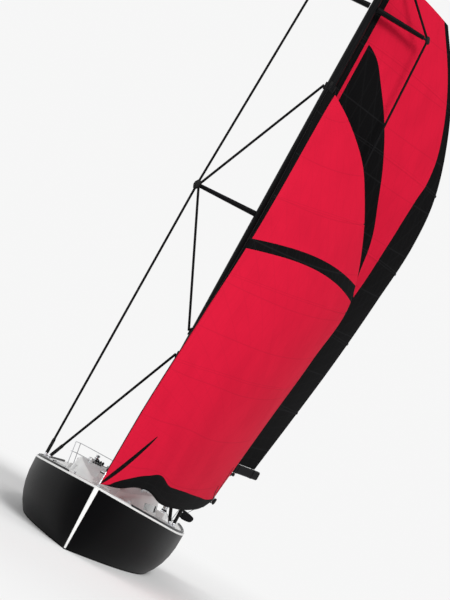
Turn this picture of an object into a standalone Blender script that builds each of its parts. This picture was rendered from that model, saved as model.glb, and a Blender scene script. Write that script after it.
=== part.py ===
# Fractional-rigged racing sloop under sail on starboard tack, modelled upright.
# Metres. +X forward, +Y port, +Z up. The origin is amidships on the centreline, at the waterline.
import math

import bmesh
import bpy
import numpy as np
from mathutils import Vector

for old in list(bpy.data.objects):
    bpy.data.objects.remove(old, do_unlink=True)

GAP = 0.0004            # touching pieces stay this far apart

# ---------------------------------------------------------------- hull sizes
RAKE_BOW = 0.20         # the stem leans forward this much from waterline to sheer
RAKE_STERN = 0.12       # the transom leans aft this much from waterline to sheer
SHELL = 0.045           # hull skin thickness
DECK_THICK = 0.045
CROWN = 0.070           # deck crown at full beam
STEM_BAND_S = 0.990     # the pale nose of the stem starts at this share of the length
HALF_POINTS = 12        # points on each half section
# columns: share of length, x, half beam, sheer height, keel depth, fullness of the section
HULL = np.array([
    (0.000, -6.10, 1.740, 1.300, -0.040, 3.00),
    (0.130, -4.60, 1.950, 1.275, 0.270, 2.80),
    (0.300, -2.60, 2.080, 1.275, 0.500, 2.60),
    (0.450, -0.80, 2.100, 1.295, 0.610, 2.50),
    (0.610, 1.20, 1.950, 1.340, 0.630, 2.38),
    (0.750, 3.00, 1.560, 1.410, 0.560, 2.15),
    (0.860, 4.40, 1.030, 1.470, 0.430, 1.95),
    (0.930, 5.25, 0.600, 1.510, 0.290, 1.75),
    (0.975, 5.70, 0.250, 1.535, 0.160, 1.60),
    (0.990, 5.80, 0.120, 1.543, 0.110, 1.50),
    (1.000, 5.875, 0.034, 1.550, 0.060, 1.45),
])

# ---------------------------------------------------------------- deck, coachroof and cockpit
# columns: x, half width at the base, half width at the top, height of the top
COACHROOF = np.array([
    (-2.25, 1.24, 1.10, 1.800),
    (-0.60, 1.27, 1.13, 1.850),
    (1.00, 1.12, 0.98, 1.835),
    (2.20, 0.86, 0.74, 1.750),
    (3.00, 0.58, 0.48, 1.630),
    (3.45, 0.36, 0.30, 1.480),
])
ROOF_SKIN = 0.035
SOLE_Z = 0.600          # cockpit sole
SEAT_Z = 0.980          # cockpit seats
WELL_HALF = 0.560       # half width between the seats
COCKPIT_HALF = 1.220    # half width between the coamings
COCKPIT_FORE = -2.300
COCKPIT_AFT = -5.550
COAMING = 0.200
COAMING_Z = 1.500
HATCH_X = (2.22, 2.80)  # fore hatch opening
HATCH_HALF = 0.26
HATCH_Z = 1.800
LOCKER_X = (4.60, 5.15) # anchor locker opening
LOCKER_HALF = 0.19
ANCHOR_Z = 1.600
BENCH_X = (-3.85, -2.75)
BENCH_Y = (0.68, 1.08)
LID_THICK = 0.030
CLEAR = 0.006           # clearance round a moving lid

# ---------------------------------------------------------------- rig sizes
MAST_X = 1.40
MAST_FOOT = 1.930
MAST_TOP = 16.60
MAST_HALF = 0.115       # half thickness athwartships
MAST_LONG = 0.160       # half length fore and aft
SWEEP = 0.26            # spreaders lean aft this much for each metre out
CHAIN_Y = 1.800
SPREADERS = (           # name, height, half span, gap to the shroud at the tip
    ("lower", 9.17, 1.760, 0.002),
    ("upper", 15.10, 1.555, 0.080),
)
HOUNDS_Z = 12.86        # where forestay and diamonds meet the mast
DIAMOND_FOOT_Z = 5.85
LOWERS_Z = 5.20
LOWERS_Y = 1.700
STAY_R = 0.032          # faired carbon shrouds
FORESTAY_R = 0.010
GOOSE_X = 1.140         # boom swing axis
GOOSE_Z = 3.080
BOOM_ANGLE = math.radians(32.6)
BOOM_LENGTH = 5.62
BOOM_RISE = 0.45
BOOM_HALF = (0.075, 0.125)  # half width and half height of the boom
SAIL_THICK = 0.008

parts = bpy.data.collections.new("racing_sloop")
bpy.context.scene.collection.children.link(parts)
cutters = bpy.data.collections.new("cutters")
bpy.context.scene.collection.children.link(cutters)

COLOURS = {
    "black_gelcoat": ((0.012, 0.012, 0.014), 0.25, 0.0),
    "white_gelcoat": ((0.86, 0.86, 0.85), 0.30, 0.0),
    "carbon_black": ((0.018, 0.018, 0.020), 0.35, 0.0),
    "red_sailcloth": ((0.66, 0.012, 0.045), 0.60, 0.0),
    "steel": ((0.62, 0.63, 0.65), 0.25, 1.0),
    "glass": ((0.03, 0.04, 0.05), 0.08, 0.0),
    "teak": ((0.42, 0.25, 0.13), 0.60, 0.0),
    "lead_black": ((0.03, 0.03, 0.035), 0.45, 0.0),
    "engine_grey": ((0.35, 0.37, 0.40), 0.50, 0.3),
    "bronze": ((0.55, 0.38, 0.16), 0.35, 1.0),
    "cushion": ((0.20, 0.23, 0.30), 0.85, 0.0),
    "black_cover": ((0.015, 0.015, 0.016), 0.80, 0.0),
}


def smooth(xs, ys, q):
    """A smooth curve through the rows of a short table."""
    slope = np.gradient(ys, xs)
    q = min(max(q, xs[0]), xs[-1])
    i = min(int(np.searchsorted(xs, q, side="right")) - 1, len(xs) - 2)
    i = max(i, 0)
    d = xs[i + 1] - xs[i]
    t = (q - xs[i]) / d
    a = (2 * t ** 3 - 3 * t ** 2 + 1) * ys[i]
    b = (t ** 3 - 2 * t ** 2 + t) * d * slope[i]
    c = (3 * t ** 2 - 2 * t ** 3) * ys[i + 1]
    e = (t ** 3 - t ** 2) * d * slope[i + 1]
    return float(a + b + c + e)


def make_object(name, verts, faces, finish, collection=parts):
    mesh = bpy.data.meshes.new(name)
    bm = bmesh.new()
    made = [bm.verts.new(v) for v in verts]
    for face in faces:
        bm.faces.new([made[i] for i in face])
    bmesh.ops.recalc_face_normals(bm, faces=bm.faces)
    bm.to_mesh(mesh)
    bm.free()
    obj = bpy.data.objects.new(name, mesh)
    collection.objects.link(obj)
    if collection is cutters:
        obj.hide_render = True
        obj.display_type = "WIRE"
        return obj
    colour, rough, metal = COLOURS[finish]
    mat = bpy.data.materials.new(name + "_mat")
    mat.use_nodes = True
    shader = mat.node_tree.nodes["Principled BSDF"]
    shader.inputs["Base Color"].default_value = (*colour, 1.0)
    shader.inputs["Roughness"].default_value = rough
    shader.inputs["Metallic"].default_value = metal
    mesh.materials.append(mat)
    return obj


def loft(name, rings, finish, collection=parts, closed=False):
    """Skin closed rings of equal length in order, with flat ends unless closed."""
    n = len(rings[0])
    verts = [tuple(p) for ring in rings for p in ring]
    faces = []
    spans = len(rings) if closed else len(rings) - 1
    for i in range(spans):
        j = (i + 1) % len(rings)
        for k in range(n):
            m = (k + 1) % n
            faces.append((i * n + k, i * n + m, j * n + m, j * n + k))
    if not closed:
        faces.append(tuple(range(n)))
        faces.append(tuple((len(rings) - 1) * n + k for k in range(n)))
    return make_object(name, verts, faces, finish, collection)


def box(name, low, high, finish, collection=parts):
    (x0, y0, z0), (x1, y1, z1) = low, high
    ring = [(x0, y0), (x1, y0), (x1, y1), (x0, y1)]
    rings = [[(x, y, z) for x, y in ring] for z in (z0, z1)]
    return loft(name, rings, finish, collection)


def tube(name, path, radius, finish, sides=8, collection=parts, radii=None):
    """A round bar along a path; each ring lies in the plane that halves the bend."""
    pts = [Vector(p) for p in path]
    rings = []
    first = (pts[1] - pts[0]).normalized()
    side = first.cross(Vector((0, 0, 1)))
    if side.length < 0.05:
        side = first.cross(Vector((0, 1, 0)))
    side.normalize()
    for i, p in enumerate(pts):
        before = (p - pts[i - 1]).normalized() if i else (pts[1] - p).normalized()
        after = (pts[i + 1] - p).normalized() if i < len(pts) - 1 else before
        along = (before + after).normalized()
        side = (side - along * side.dot(along)).normalized()
        up = along.cross(side)
        stretch = 1.0 / max(along.dot(before), 0.5)
        r = radii[i] if radii else radius
        flat = (after - before)
        bend = flat.normalized() if flat.length > 1e-6 else None
        ring = []
        for k in range(sides):
            a = 2 * math.pi * (k + 0.5) / sides
            d = side * math.cos(a) * r + up * math.sin(a) * r
            if bend is not None:
                d = d + bend * d.dot(bend) * (stretch - 1.0)
            ring.append(p + d)
        rings.append(ring)
    return loft(name, rings, finish, collection)


def revolve(name, profile, centre, axis, finish, steps=24, collection=parts):
    """Turn a profile of (distance along, radius) about an axis through the centre."""
    axis = Vector(axis).normalized()
    side = axis.cross(Vector((0, 0, 1)))
    if side.length < 0.1:
        side = axis.cross(Vector((0, 1, 0)))
    side.normalize()
    up = axis.cross(side)
    rings = []
    for along, radius in profile:
        ring = []
        for k in range(steps):
            a = 2 * math.pi * k / steps
            ring.append(Vector(centre) + axis * along + (side * math.cos(a) + up * math.sin(a)) * radius)
        rings.append(ring)
    return loft(name, rings, finish, collection)


def combine(obj, other, operation):
    """Apply one exact boolean and drop the second object."""
    mod = obj.modifiers.new(operation.lower(), "BOOLEAN")
    mod.operation = operation
    mod.solver = "EXACT"
    mod.object = other
    bpy.context.view_layer.update()
    graph = bpy.context.evaluated_depsgraph_get()
    result = bpy.data.meshes.new_from_object(obj.evaluated_get(graph))
    obj.modifiers.clear()
    obj.data = result
    bpy.data.objects.remove(other, do_unlink=True)
    return obj


def cut(obj, other):
    return combine(obj, other, "DIFFERENCE")


def join(obj, other):
    return combine(obj, other, "UNION")


def round_shading(obj, angle=40.0):
    for poly in obj.data.polygons:
        poly.use_smooth = True
    obj.data.set_sharp_from_angle(angle=math.radians(angle))
    return obj


# ---------------------------------------------------------------- hull form
ACROSS = (-1.0, -0.75, -0.5, -0.25, 0.0, 0.25, 0.5, 0.75, 1.0)


def hull_row(s):
    return [smooth(HULL[:, 0], HULL[:, k], s) for k in range(1, 6)]


def lean(s, z):
    """Fore and aft shift that gives the raked stem and transom."""
    bow = max(0.0, (s - 0.60) / 0.40) ** 2
    stern = max(0.0, 1.0 - s / 0.30) ** 2
    return RAKE_BOW * bow * z / 1.55 - RAKE_STERN * stern * z / 1.30


def half_section(s, inset=0.0):
    """Points from the sheer down to the keel on one side."""
    x, beam, sheer, keel, full = hull_row(s)
    beam = max(beam - inset, 0.012)
    depth = sheer + keel - inset
    pts = []
    for i in range(HALF_POINTS + 1):
        a = 0.5 * math.pi * i / HALF_POINTS
        y = beam * max(math.cos(a), 0.0) ** (2.0 / full)
        z = sheer - depth * math.sin(a) ** (2.0 / full)
        pts.append((x + lean(s, z), y, z))
    return pts


def deck_point(s, across, lift):
    """A point of the crowned deck surface, across from -1 to 1 of the half beam."""
    x, beam, sheer, keel, full = hull_row(s)
    z = sheer + CROWN * (beam / 2.1) * (1.0 - across ** 2)
    return (x + lean(s, z + lift), beam * across, z + lift)


def deck_z(x, y):
    """Height of the deck's upper face at a place."""
    s = float(np.interp(x, HULL[:, 1], HULL[:, 0]))
    beam, sheer = hull_row(s)[1:3]
    return sheer + CROWN * (beam / 2.1) * (1.0 - (y / beam) ** 2) + GAP + DECK_THICK


def spread(s_from, s_to, count):
    return [s_from + (s_to - s_from) * i / count for i in range(count + 1)]


def hull_solid(name, shares, inset=0.0, open_top=0.0, collection=cutters, finish=None):
    rings = []
    for s in shares:
        half = half_section(s, inset)
        ring = [(x, y, z) for x, y, z in half]
        ring += [(x, -y, z) for x, y, z in reversed(half[:-1])]
        if open_top:
            x, y, z = half[0]
            ring = [(x, y, z + open_top)] + ring + [(x, -y, z + open_top)]
        else:
            ring += [deck_point(s, a, 0.0) for a in ACROSS[1:-1]]
        rings.append(ring)
    return loft(name, rings, finish, collection)


STATIONS = spread(0.0, STEM_BAND_S - 0.0002, 30)
hull = hull_solid("hull", STATIONS, collection=parts, finish="black_gelcoat")
cut(hull, hull_solid("cavity", spread(0.012, 0.955, 20), inset=SHELL, open_top=0.25))
stem_band = hull_solid("stem_band", (STEM_BAND_S, 1.0), collection=parts, finish="white_gelcoat")

# ---------------------------------------------------------------- deck moulding
rings = []
for s in STATIONS + [STEM_BAND_S, 1.0]:
    top = [deck_point(s, a, GAP + DECK_THICK) for a in ACROSS]
    low = [deck_point(s, a, GAP) for a in reversed(ACROSS)]
    rings.append(top + low)
deck = loft("deck", rings, "white_gelcoat")


def roof_ring(x, inset, base_z, lower=0.0):
    wb = smooth(COACHROOF[:, 0], COACHROOF[:, 1], x) - inset
    wt = smooth(COACHROOF[:, 0], COACHROOF[:, 2], x) - inset
    zt = smooth(COACHROOF[:, 0], COACHROOF[:, 3], x) - lower
    side = [(wb, base_z), (wt + 0.02, zt - 0.10), (wt - 0.01, zt - 0.04), (wt - 0.07, zt - 0.005)]
    crown = [(wt * 0.55, zt + 0.025), (0.0, zt + 0.040)]
    half = side + crown
    pts = half + [(-y, z) for y, z in reversed(half[:-1])]
    return [(x, y, z) for y, z in pts]


def roof_solid(name, x_from, x_to, count, inset, base_z, lower=0.0):
    rings = []
    for i in range(count + 1):
        x = x_from + (x_to - x_from) * i / count
        rings.append(roof_ring(x, inset, base_z, lower))
    return loft(name, rings, None, cutters)


# cockpit tub and coamings first, then the coachroof, then the spaces inside
tub = box("tub", (COCKPIT_AFT - 0.05, -COCKPIT_HALF - 0.08, SOLE_Z - 0.05),
          (COCKPIT_FORE + 0.07, COCKPIT_HALF + 0.08, 1.35), None, cutters)
join(deck, tub)
coaming = []
for x, rise in ((COCKPIT_AFT - 0.09, -0.10), (-4.6, -0.04), (COCKPIT_FORE + 0.04, 0.0)):
    w = COCKPIT_HALF + COAMING
    top = COAMING_Z + rise
    coaming.append([(x, w, 1.33), (x, w - 0.03, top), (x, -w + 0.03, top), (x, -w, 1.33)])
join(deck, loft("coaming", coaming, None, cutters))
join(deck, roof_solid("roof", COACHROOF[0, 0], COACHROOF[-1, 0], 14, 0.0, 1.27))
join(deck, box("hatch_rim", (HATCH_X[0] - 0.05, -HATCH_HALF - 0.05, 1.50),
               (HATCH_X[1] + 0.05, HATCH_HALF + 0.05, HATCH_Z), None, cutters))
join(deck, box("anchor_rim", (LOCKER_X[0] - 0.03, -LOCKER_HALF - 0.03, 1.50),
               (LOCKER_X[1] + 0.03, LOCKER_HALF + 0.03, ANCHOR_Z), None, cutters))
for sign in (1, -1):
    join(deck, box("slide_rail", (-2.24, min(sign * 0.36, sign * 0.42), 1.78),
                   (-0.70, max(sign * 0.36, sign * 0.42), 1.925), None, cutters))
cut(deck, roof_solid("cabin_space", -2.20, 3.05, 14, ROOF_SKIN, 1.20, ROOF_SKIN))
cut(deck, box("seat_space", (COCKPIT_AFT, -COCKPIT_HALF, SEAT_Z), (COCKPIT_FORE, COCKPIT_HALF, 2.4), None, cutters))
cut(deck, box("well_space", (COCKPIT_AFT, -WELL_HALF, SOLE_Z), (COCKPIT_FORE, WELL_HALF, 1.2), None, cutters))
cut(deck, box("companionway", (-2.45, -0.32, 1.04), (-1.55, 0.32, 2.2), None, cutters))
cut(deck, box("hatch_hole", (HATCH_X[0], -HATCH_HALF, 1.2), (HATCH_X[1], HATCH_HALF, 2.0), None, cutters))
cut(deck, box("anchor_hole", (LOCKER_X[0], -LOCKER_HALF, 1.2), (LOCKER_X[1], LOCKER_HALF, 1.8), None, cutters))
for sign in (1, -1):
    lo, hi = sorted((sign * BENCH_Y[0], sign * BENCH_Y[1]))
    cut(deck, box("bench_hole", (BENCH_X[0], lo, SOLE_Z + 0.03), (BENCH_X[1], hi, 1.1), None, cutters))
for side, sign in (("port", 1), ("starboard", -1)):
    lo, hi = sorted((sign * 0.85, sign * 1.40))
    cut(deck, box("window_hole", (-1.62, lo, 1.475), (1.45, hi, 1.640), None, cutters))
for sign in (1, -1):
    join(deck, box("winch_pad", (-1.42, sign * 0.78 - 0.10, 1.78), (-1.18, sign * 0.78 + 0.10, 1.890), None, cutters))
round_shading(deck, 30)

for side, sign in (("port", 1), ("starboard", -1)):
    pane = roof_solid("window_" + side, -2.0, 2.0, 10, 0.008, 1.30)
    pane = cut(pane, roof_solid("pane_core", -2.1, 2.1, 10, 0.022, 1.25, -0.10))
    lo, hi = sorted((sign * 0.85, sign * 1.40))
    size = box("pane_size", (-1.62 + GAP, lo, 1.475 + GAP), (1.45 - GAP, hi, 1.640 - GAP), None, cutters)
    combine(pane, size, "INTERSECT")
    verts = [tuple(v.co) for v in pane.data.vertices]
    faces = [tuple(p.vertices) for p in pane.data.polygons]
    bpy.data.objects.remove(pane, do_unlink=True)
    make_object("window_" + side, verts, faces, "glass")

# ---------------------------------------------------------------- cabin
def clip_to_hull(obj):
    return combine(obj, hull_solid("clip", spread(0.03, 0.94, 20), inset=SHELL + 0.004, open_top=0.02), "INTERSECT")


sole = box("cabin_sole", (-2.10, -1.05, -0.280), (2.60, 1.05, -0.250), "teak")
clip_to_hull(sole)
for side, sign in (("port", 1), ("starboard", -1)):
    lo, hi = sorted((sign * 0.55, sign * 1.75))
    settee = box("settee_" + side, (-1.85, lo, -0.250 + GAP), (1.30, hi, 0.150), "cushion")
    clip_to_hull(settee)
bulkhead = box("main_bulkhead", (1.36, -2.0, -0.250 + GAP), (1.39, 2.0, 1.262), "teak")
cut(bulkhead, box("doorway", (1.2, 0.12, -0.20), (1.5, 0.68, 1.18), None, cutters))
clip_to_hull(bulkhead)
steps = box("companion_steps", (-2.08, -0.28, -0.250 + GAP), (-2.05, 0.28, 0.95), "teak")
for k in range(4):
    join(steps, box("tread", (-2.06, -0.27, -0.02 + 0.27 * k), (-1.98 + 0.10 * (1 - k / 4), 0.27, 0.01 + 0.27 * k), None, cutters))
engine = box("engine", (-2.98, -0.24, -0.385), (-2.26, 0.24, 0.26), "engine_grey")

# ---------------------------------------------------------------- keel, rudder and drive
FOIL = ((1.00, 0.004), (0.75, 0.055), (0.50, 0.100), (0.28, 0.115), (0.12, 0.090), (0.03, 0.050), (0.0, 0.016))


def foil_ring(x_lead, chord, z, fat=1.0):
    side = [(x_lead - chord * c, chord * t * 0.5 * fat, z) for c, t in FOIL]
    return side + [(x, -y, z) for x, y, z in reversed(side)]


KEEL_LEAD = 1.10
BULB_Z = -2.20
BULB_R = 0.21
BULB_FORE = 1.55
BULB_LONG = 2.25
BULB = ((0.0, 0.06), (0.04, 0.42), (0.12, 0.72), (0.25, 0.95), (0.40, 1.0), (0.58, 0.90), (0.78, 0.58), (0.92, 0.26), (1.0, 0.05))


def bulb_solid(name, extra, collection, finish):
    profile = [(BULB_LONG * a, BULB_R * r + extra) for a, r in BULB]
    obj = revolve(name, profile, (BULB_FORE, 0, BULB_Z), (-1, 0, 0), finish, 20, collection)
    return cut(obj, box("flat", (-3, -1, BULB_Z - 1), (3, 1, BULB_Z - 0.172 - extra), None, cutters))


bulb = bulb_solid("keel_bulb", 0.0, parts, "lead_black")
fin = loft("keel_fin", [foil_ring(KEEL_LEAD + 0.05, 1.50, -0.40), foil_ring(KEEL_LEAD, 1.45, -0.75),
                        foil_ring(KEEL_LEAD - 0.15, 1.10, -1.60), foil_ring(KEEL_LEAD - 0.22, 1.00, -2.15)], "lead_black")
cut(fin, hull_solid("above", STATIONS, inset=-GAP))
cut(fin, bulb_solid("below", GAP, cutters, None))

STOCK_X = -5.15
stock = tube("rudder", [(STOCK_X, 0, 0.34), (STOCK_X, 0, -0.60)], 0.045, "lead_black", 16)
blade = loft("blade", [foil_ring(STOCK_X + 0.13, 0.56, -0.275), foil_ring(STOCK_X + 0.12, 0.52, -1.0),
                       foil_ring(STOCK_X + 0.05, 0.34, -1.78), foil_ring(STOCK_X + 0.00, 0.24, -1.84)], None, cutters)
rudder = join(stock, blade)
cut(hull, tube("stock_hole", [(STOCK_X, 0, 0.4), (STOCK_X, 0, -0.6)], 0.055, None, 16, cutters))

LEG_X = -2.62
leg = loft("saildrive_leg", [foil_ring(LEG_X + 0.10, 0.24, -0.385 - GAP, 2.4), foil_ring(LEG_X + 0.10, 0.24, -0.60, 2.4),
                             foil_ring(LEG_X + 0.05, 0.20, -1.02, 2.6)], "engine_grey")
LEG = ((0.0, 0.010), (0.05, 0.045), (0.14, 0.062), (0.28, 0.060), (0.38, 0.045))
join(leg, revolve("gear", LEG, (LEG_X + 0.15, 0, -1.02), (-1, 0, 0), None, 16, cutters))
cut(hull, loft("leg_hole", [foil_ring(LEG_X + 0.1025, 0.245, -0.30, 2.55), foil_ring(LEG_X + 0.1025, 0.245, -0.70, 2.55)], None, cutters))
PROP_X = LEG_X - 0.236
propeller = revolve("propeller", ((0.0, 0.044), (0.07, 0.042), (0.12, 0.018)), (PROP_X, 0, -1.02), (-1, 0, 0), "bronze", 16)
for k in range(3):
    turn = 2 * math.pi * k / 3
    rings = []
    for radius, chord, pitch in ((0.025, 0.035, 60), (0.10, 0.085, 38), (0.17, 0.095, 26), (0.215, 0.045, 20)):
        p = math.radians(pitch)
        ring = []
        for c, t in ((-0.5, 0.0), (0.0, 0.005), (0.5, 0.0), (0.0, -0.005)):
            along = c * chord * math.sin(p) + t * math.cos(p)
            around = c * chord * math.cos(p) - t * math.sin(p)
            y = radius * math.cos(turn) - around * math.sin(turn)
            z = radius * math.sin(turn) + around * math.cos(turn)
            ring.append((PROP_X - 0.045 - along, y, z - 1.02))
        rings.append(ring)
    join(propeller, loft("prop_blade", rings, None, cutters))

# ---------------------------------------------------------------- lids and hatches
box("fore_hatch", (HATCH_X[0] - 0.045, -HATCH_HALF - 0.045, HATCH_Z + CLEAR),
    (HATCH_X[1] + 0.045, HATCH_HALF + 0.045, HATCH_Z + CLEAR + LID_THICK), "glass")
box("anchor_lid", (LOCKER_X[0] - 0.025, -LOCKER_HALF - 0.025, ANCHOR_Z + CLEAR),
    (LOCKER_X[1] + 0.025, LOCKER_HALF + 0.025, ANCHOR_Z + CLEAR + 0.025), "white_gelcoat")
for side, sign in (("port", 1), ("starboard", -1)):
    lo, hi = sorted((sign * (BENCH_Y[0] - 0.03), sign * (BENCH_Y[1] + 0.03)))
    box("locker_lid_" + side, (BENCH_X[0] - 0.03, lo, SEAT_Z + CLEAR), (BENCH_X[1] + 0.03, hi, SEAT_Z + CLEAR + LID_THICK), "white_gelcoat")
box("companion_hatch", (-2.30, -0.42, 1.925 + CLEAR), (-1.50, 0.42, 1.925 + CLEAR + LID_THICK), "glass")
box("washboard", (-2.235, -0.32 + GAP, 1.04 + GAP), (-2.213, 0.32 - GAP, 1.915), "teak")

# ---------------------------------------------------------------- cockpit gear
pedestal = loft("steering_pedestal", [
    [(-4.66, -0.10, SOLE_Z + GAP), (-4.40, -0.10, SOLE_Z + GAP), (-4.40, 0.10, SOLE_Z + GAP), (-4.66, 0.10, SOLE_Z + GAP)],
    [(-4.62, -0.07, 1.00), (-4.44, -0.07, 1.00), (-4.44, 0.07, 1.00), (-4.62, 0.07, 1.00)],
    [(-4.62, -0.08, 1.46), (-4.42, -0.08, 1.46), (-4.42, 0.08, 1.46), (-4.62, 0.08, 1.46)],
    [(-4.60, -0.06, 1.52), (-4.44, -0.06, 1.52), (-4.44, 0.06, 1.52), (-4.60, 0.06, 1.52)]], "carbon_black")
WHEEL = (-4.74, 0.0, 1.36)
WHEEL_R = 0.58
rings = []
for i in range(36):
    a = 2 * math.pi * i / 36
    ring = []
    for k in range(8):
        b = 2 * math.pi * k / 8
        r = WHEEL_R + 0.016 * math.cos(b)
        ring.append((WHEEL[0] + 0.016 * math.sin(b), r * math.cos(a), WHEEL[2] + r * math.sin(a)))
    rings.append(ring)
wheel = loft("steering_wheel", rings, "carbon_black", closed=True)
join(wheel, revolve("hub", ((0.0, 0.05), (0.05, 0.05)), (WHEEL[0] - 0.03, 0, WHEEL[2]), (1, 0, 0), None, 16, cutters))
join(wheel, revolve("shaft", ((0.0, 0.02), (0.165, 0.02)), (WHEEL[0], 0, WHEEL[2]), (1, 0, 0), None, 12, cutters))
for k in range(5):
    a = 2 * math.pi * (k + 0.25) / 5
    tip = (WHEEL[0], WHEEL_R * math.cos(a), WHEEL[2] + WHEEL_R * math.sin(a))
    root = (WHEEL[0], 0.02 * math.cos(a), WHEEL[2] + 0.02 * math.sin(a))
    join(wheel, tube("spoke", [root, tip], 0.011, None, 6, cutters))
cut(pedestal, revolve("shaft_hole", ((0.0, 0.026), (0.14, 0.026)), (-4.70, 0, WHEEL[2]), (1, 0, 0), None, 12, cutters))

track = box("mainsheet_track", (-3.40, -0.54, SOLE_Z + GAP), (-3.34, 0.54, SOLE_Z + 0.045), "steel")
box("traveller_car", (-3.43, 0.22, SOLE_Z + 0.045 + GAP), (-3.31, 0.36, SOLE_Z + 0.10), "carbon_black")
WINCH = ((0.0, 1.00), (0.012, 1.00), (0.016, 0.78), (0.09, 0.62), (0.115, 0.78), (0.150, 0.80), (0.156, 0.60))
for side, sign in (("port", 1), ("starboard", -1)):
    for name, x, y, z, r in (("winch_primary_", -3.55, 1.315, 1.484, 0.088), ("winch_cabin_", -1.30, 0.78, 1.890, 0.070)):
        profile = [(a * r / 0.08, b * r) for a, b in WINCH]
        revolve(name + side, profile, (x, sign * y, z + GAP), (0, 0, 1), "steel", 20)


# ---------------------------------------------------------------- rails
def edge_point(s, across, lift, sign):
    """A point on the flat outer strip of the deck, as its facets lie."""
    a = deck_point(s, 0.75, GAP + DECK_THICK)
    b = deck_point(s, 1.0, GAP + DECK_THICK)
    t = (across - 0.75) / 0.25
    x, y, z = [p + (q - p) * t for p, q in zip(a, b)]
    return (x, sign * y, z + lift)


for side, sign in (("port", 1), ("starboard", -1)):
    rings = []
    for s in STATIONS[2:28]:
        rings.append([edge_point(s, 0.955, GAP, sign), edge_point(s, 0.985, GAP, sign),
                      edge_point(s, 0.982, 0.045, sign), edge_point(s, 0.960, 0.045, sign)])
    rail = loft("toe_rail_" + side, rings, "carbon_black")
    round_shading(rail, 30)


def deck_foot(x, y):
    return (x, y, deck_z(x, y) + 0.012)


def frame(name, runs, finish, radius=0.0135):
    """Bent tubes joined into one welded frame."""
    whole = None
    for run in runs:
        bar = tube(name if whole is None else "run", run, radius, finish, 8, parts if whole is None else cutters)
        whole = bar if whole is None else join(whole, bar)
    return round_shading(whole, 50)


RAIL_UP = 0.62
MID_RAIL_UP = 0.33
stern_top = 1.36 + RAIL_UP
stern_path = [(-5.10, 1.74, stern_top), (-5.78, 1.66, stern_top), (-5.98, 1.42, stern_top)]
stern_path += [(x, -y, z) for x, y, z in reversed(stern_path)]
legs = []
for sign in (1, -1):
    legs.append([deck_foot(-5.10, sign * 1.66), (-5.10, sign * 1.74, stern_top)])
    legs.append([deck_foot(-5.80, sign * 1.56), (-5.78, sign * 1.66, stern_top)])
    legs.append([deck_foot(-5.98, sign * 0.60), (-5.98, sign * 0.60, stern_top)])
mid_rail = [(x, y, z - RAIL_UP + MID_RAIL_UP) for x, y, z in stern_path]
for sign in (1, -1):
    mid_half = [(x, y, z) for x, y, z in mid_rail if y * sign > 0]
    corner = [(-5.98, sign * 0.60, mid_rail[0][2])]
    legs.append(mid_half + corner if sign > 0 else corner + mid_half)
frame("pushpit", [stern_path] + legs, "steel")

# A covered rescue float hangs outboard on the port mid rail.
BAG_X = (-5.58, -5.26)
bag_profile = [(0.0, 1.50), (0.30, 1.52), (0.36, 1.60), (0.36, 1.70), (0.04, 1.76), (0.0, 1.74)]


def rail_side(x):
    """Outer side of the port rail, which closes in towards the stern."""
    return 1.74 + (x + 5.10) / 0.68 * 0.08 + 0.0135


loft("rescue_float", [[(x, rail_side(x) + 0.002 + a, z) for a, z in bag_profile] for x in BAG_X], "black_cover")

# ---------------------------------------------------------------- mast and standing rigging
step_z = 1.876
box("mast_step", (MAST_X - 0.22, -0.16, step_z), (MAST_X + 0.22, 0.16, MAST_FOOT - GAP), "steel")


def mast_ring(z, share, wall=0.0):
    ring = []
    for k in range(20):
        a = 2 * math.pi * (k + 0.5) / 20
        c, s = math.cos(a), math.sin(a)
        x = (MAST_LONG * share - wall) * math.copysign(abs(c) ** 0.85, c)
        y = (MAST_HALF * share - wall) * math.copysign(abs(s) ** 0.85, s)
        ring.append((MAST_X + x, y, z))
    return ring


mast = loft("mast", [mast_ring(MAST_FOOT, 1.0), mast_ring(HOUNDS_Z, 1.0), mast_ring(MAST_TOP - 1.2, 0.86),
                     mast_ring(MAST_TOP, 0.72)], "carbon_black")
round_shading(mast, 35)

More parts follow.
